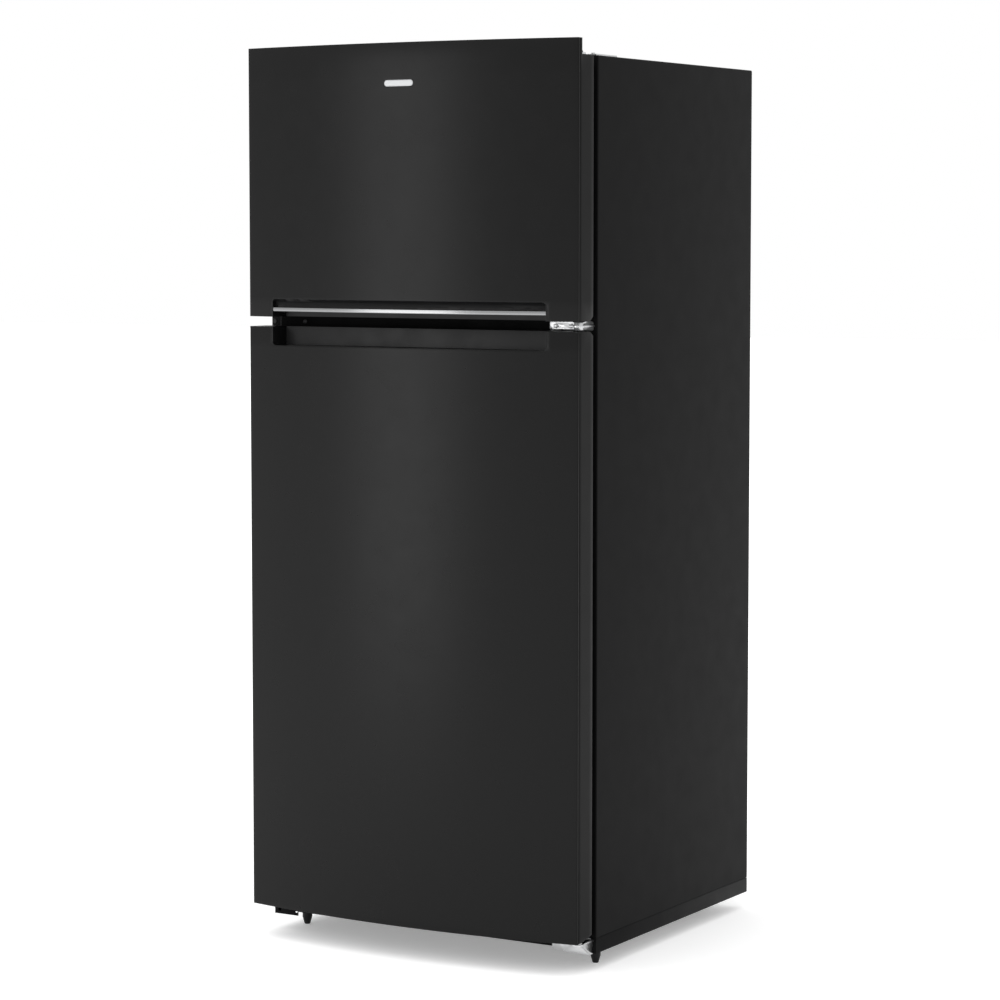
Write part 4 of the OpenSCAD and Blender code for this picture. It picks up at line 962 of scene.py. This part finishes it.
def drawers():
    """The two crisper drawers on their runners, each with a pull along its front."""
    for name in ("left", "right"):
        lo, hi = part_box(f"crisper_{name}")
        z0 = DRAWER_Z
        body = tub((lo.x, lo.y + 5 * MM), (hi.x, hi.y), z0, hi.z, 12 * MM, wall=2.6 * MM,
                   foot=10 * MM, draft=5 * MM)
        runners = [ledge(x, x + 6 * MM, lo.y + 30 * MM, hi.y - 30 * MM, z0 - 3.5 * MM, z0 + 0.5 * MM)
                   for x in (lo.x + 40 * MM, hi.x - 46 * MM)]
        body = merged(body, *runners)
        y, z = lo.y + 5 * MM, hi.z
        grip = [(y + 1 * MM, z), (y - 4 * MM, z), (y - 5 * MM, z - 1.5 * MM), (y - 5 * MM, z - 26 * MM),
                (y - 3.2 * MM, z - 26 * MM), (y - 2.6 * MM, z - 5 * MM), (y + 1 * MM, z - 4 * MM)]
        pull = bevel_edges(prism(grip, "x", lo.x + 8 * MM, hi.x - 8 * MM), 0.7 * MM, 2, 40)
        piece(f"drawer_{name}", body, f"crisper_{name}", "clear_plastic", (f"crisper_{name}",))
        piece(f"drawer_pull_{name}", pull, f"crisper_{name}", "shelf_plastic")


def rod(axis, start, length, r):
    """A round wire with softened ends, from a start point along an axis."""
    soft = 0.4 * r
    profile = [(0.0, 0.6 * r), (soft, r), (length - soft, r), (length, 0.6 * r)]
    return lathe(profile, start, axis, 14)


def wire_shelf():
    """The freezer's coated wire shelf."""
    lo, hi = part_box("freezer_shelf")
    thick, thin, step = 2.6 * MM, 1.4 * MM, 14 * MM
    width, deep, z = hi.x - lo.x, hi.y - lo.y, lo.z + thick
    near, far = lo.y + thick, hi.y - thick
    parts = [rod("x", (lo.x, y, z + dz), width, thick)
             for y, dz in ((near, 0.0), (near, 4.8 * MM), (far, 0.0), (far, 14 * MM))]
    parts += [rod("x", (lo.x, lo.y + deep * t, z - 0.8 * MM), width, 1.8 * MM) for t in (0.33, 0.67)]
    count = int((width - 2 * step) / step)
    for i in range(count + 1):
        x = (i - count / 2) * step
        parts.append(rod("y", (x, lo.y + thin, z + 1.6 * MM), deep - 2 * thin, thin))
    for x in (lo.x + thick, hi.x - thick):
        parts.append(rod("y", (x, near, z), deep - 2 * thick, thick))
    piece("wire_shelf", merged(*parts), "cabinet", "bin_plastic", ("freezer_shelf",))


# ---------------------------------------------------------------- fasteners and dials

# Screws in millimetres: (x, y) on the top hinge, (x, z) on the lower ones, x on the rear cover
TOP_SCREWS = ((288, -236), (330, -236), (309, -192))
FRONT_SCREWS = ((269, GAP_MID / MM - 1), (300, GAP_MID / MM - 1), (276, 50), (332, 42))
COVER_SCREWS = (-325, 0, 325)
COVER_SCREW_Z = 247 * MM
BRACKET = 3 * MM                           # thickness of the hinges' plates


def screw(r, height):
    """A hex-head screw with a round flange and a dished top, its head along +Z from the origin."""
    profile = [(0.0, r), (0.5 * MM, r), (0.9 * MM, r - 0.5 * MM), (1.0 * MM, r - 1.4 * MM)]
    flange = lathe(profile, (0, 0, 0), "z", 32)
    angles = [math.pi / 3 * i for i in range(6)]
    hexagon = [(0.76 * r * math.cos(a), 0.76 * r * math.sin(a)) for a in angles]
    head = bevel_edges(prism(hexagon, "z", 0.9 * MM, height), 0.25 * MM, 2, 40)
    face_z = height - 0.01 * MM
    cut = [f for f in head.faces if f.normal.z > 0.9 and f.calc_center_median().z > face_z]
    bmesh.ops.inset_region(head, faces=cut, thickness=0.22 * r, depth=-0.35 * MM)
    shank = lathe([(-14 * MM, 1.2 * MM), (-12 * MM, 2.5 * MM), (0.0, 2.5 * MM)], (0, 0, 0), "z", 24)
    return merged(flange, head, shank)


def placed(bm, axis, spot):
    """Turns a +Z mesh to face up (z), the front (y) or the back (b), and moves it."""
    if axis != "z":
        sign = 1 if axis == "b" else -1
        for v in bm.verts:
            x, y, z = v.co
            v.co = (x, sign * z, -sign * y)
    return moved(bm, *spot)


def fasteners():
    """The screws of the hinges and of the rear cover, the latter sunk to the cover's face."""
    sunk = 1.5 * MM
    parts = [placed(screw(5 * MM, 3 * MM), "z", (x * MM, y * MM, CABINET_HI.z + BRACKET))
             for x, y in TOP_SCREWS]
    parts += [placed(screw(4.5 * MM, 2.5 * MM), "y", (x * MM, Y_FRONT - BRACKET, z * MM))
              for x, z in FRONT_SCREWS]
    parts += [placed(screw(5 * MM, sunk), "b", (x * MM, Y_BACK - sunk, COVER_SCREW_Z))
              for x in COVER_SCREWS]
    piece("hex_screws", merged(*parts), "cabinet", "hinge_steel", ("screws",))


def hinge_bushes():
    """Dark nylon bushes round the door pins, and the cap on the upper one."""
    def ring(z, r, height):
        soft = 0.4 * MM
        profile = [(0.0, r - soft), (soft, r), (height - soft, r), (height, r - soft)]
        return lathe(profile, (PIN_X, PIN_Y, z), "z", 32)

    thick, rim, clear = 1.8 * MM, 10.5 * MM, 0.4 * MM
    parts = [ring(CABINET_HI.z + BRACKET, 7 * MM, 3.4 * MM),
             ring(FREEZER_LO.z - thick - clear, rim, thick),
             ring(FRIDGE_HI.z + clear, rim, thick)]
    piece("hinge_bushes", merged(*parts), "cabinet", "black_plastic")


DIAL_R = 18.6 * MM                         # radius of the marks' circle


def dial_marks():
    """Raised dots round the two dials, larger towards one end, in place of print."""
    lo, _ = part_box("control_box")
    parts = []
    for node in ("temperature_knob", "airflow_knob"):
        k_lo, k_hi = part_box(node)
        cx, cz = (k_lo.x + k_hi.x) / 2, (k_lo.z + k_hi.z) / 2
        for i in range(7):
            a = math.radians(210 - 40 * i)
            r = (0.5 + 0.13 * i) * MM
            spot = (cx + DIAL_R * math.cos(a), lo.y + 0.2 * MM, cz + DIAL_R * math.sin(a))
            parts.append(lathe([(-0.5 * MM, r * 0.8), (-0.35 * MM, r), (0.0, r)], spot, "y", 16))
    piece("dial_marks", merged(*parts), "cabinet", "machine_plastic")


def door_insides():
    """Inner panels and gaskets of both doors."""
    door_inner("freezer", *FREEZER_RIBS)
    door_inner("fridge", *FRIDGE_RIBS)
    seal("freezer_seal", "freezer_door_gasket", "freezer_door")
    seal("fridge_seal", "fridge_door_gasket", "fridge_door")


# ---------------------------------------------------------------- carried-over CAD nodes


# Width in millimetres of the rounded edges, where it isn't the usual one
EDGE = 0.4
EDGES = {"shelf_glass": 0.5, "evaporator_coil": 0.0, "refrigerant_lines": 0.0,
         "freezer_handle_cap": 0.7, "fridge_handle_cap": 0.7, "freezer_door_top_cap": 0.8,
         "fridge_shelf_lower": 1.2, "fridge_shelf_upper": 1.2, "crisper_cover": 1.2,
         "control_box": 1.6, "evaporator_cover": 0.8}


def dress_nodes():
    """Finishes every CAD node, and rounds the edges of those that show."""
    slots = {row["node"]: row["material_slot"] for row in frame["record"]["subparts"]}
    for name, obj in frame["nodes"].items():
        obj.data.materials.clear()
        obj.data.materials.append(MATERIALS[slots[name]])
        if not obj.hide_render:
            dress(name, EDGES.get(name, EDGE) * MM)


# ---------------------------------------------------------------- stage

# The camera, with its lens in millimetres on a 36 mm wide sensor
CAMERA_AT = (3.0333, -5.1568, 1.3419)
CAMERA_TURN = math.radians(30.478)
CAMERA_TILT = math.radians(4.585)
SHIFT_Y = -0.02
LENS = 112.48
SENSOR = 36.0

# A tall softbox in front: azimuth in degrees, distance, height, (width, height), power in watts
STRIP = (-28.8, 4.0, 1.35, (1.05, 2.9), 19.5)
# A very wide sun that lights the floor from above: energy, angle, tilt and turn
SKY_ENERGY, SKY_ANGLE = 0.8, math.radians(70)
SKY_TILT, SKY_TURN = math.radians(28), math.radians(-30)
FLOOR_SIZE = 30.0
FLOOR_GLOW = 0.3                           # keeps the shadow on the floor pale


def stage():
    """A plain white floor in an evenly white room."""
    bm = bmesh.new()
    bmesh.ops.create_grid(bm, x_segments=2, y_segments=2, size=FLOOR_SIZE)
    mesh = bpy.data.meshes.new("floor")
    bm.to_mesh(mesh)
    bm.free()
    floor = bpy.data.objects.new("floor", mesh)
    bpy.context.scene.collection.objects.link(floor)
    glow = {"Emission Color": (1.0, 1.0, 1.0, 1.0), "Emission Strength": FLOOR_GLOW}
    finish_of("floor", (0.95, 0.95, 0.95), 0.8, 0.01, 0.03, 60.0, 0.02, shader={"IOR": 1.1, **glow})
    mesh.materials.append(MATERIALS["floor"])

    world = bpy.data.worlds.new("studio")
    bpy.context.scene.world = world
    world.use_nodes = True
    background = world.node_tree.nodes["Background"]
    background.inputs["Color"].default_value = (1.0, 1.0, 1.0, 1.0)
    background.inputs["Strength"].default_value = 1.0


def softbox(name, azimuth, distance, height, size, power):
    """A soft area light that looks at the middle of the body."""
    data = bpy.data.lights.new(name, "AREA")
    data.shape = "RECTANGLE"
    data.size, data.size_y = size
    data.energy = power
    light = bpy.data.objects.new(name, data)
    a = math.radians(azimuth)
    light.location = (distance * math.sin(a), -distance * math.cos(a), height)
    aim = Vector((0.0, 0.0, min(height, 0.9))) - light.location
    light.rotation_euler = aim.to_track_quat("-Z", "Y").to_euler()
    bpy.context.scene.collection.objects.link(light)


def lights():
    """The softbox that draws the pale band down the doors, and the wide sun."""
    softbox("strip", *STRIP)
    data = bpy.data.lights.new("sky", "SUN")
    data.energy = SKY_ENERGY
    data.angle = SKY_ANGLE
    sky = bpy.data.objects.new("sky", data)
    sky.rotation_euler = (SKY_TILT, 0.0, SKY_TURN)
    bpy.context.scene.collection.objects.link(sky)


def camera():
    """A long lens, a little above the middle of the body and to its right."""
    data = bpy.data.cameras.new("camera")
    data.lens = LENS
    data.sensor_width = SENSOR
    data.shift_y = SHIFT_Y
    cam = bpy.data.objects.new("camera", data)
    cam.location = CAMERA_AT
    cam.rotation_euler = (math.pi / 2 - CAMERA_TILT, 0.0, CAMERA_TURN)
    bpy.context.scene.collection.objects.link(cam)
    bpy.context.scene.camera = cam


bpy.context.scene.view_settings.view_transform = "Standard"
camera()
stage()
lights()
door_skins()
trim()
badge()
cabinet()
liners()
ledges()
back_duct()
door_insides()
bins()
dairy_flap()
drawers()
wire_shelf()
fasteners()
hinge_bushes()
dial_marks()
dress_nodes()
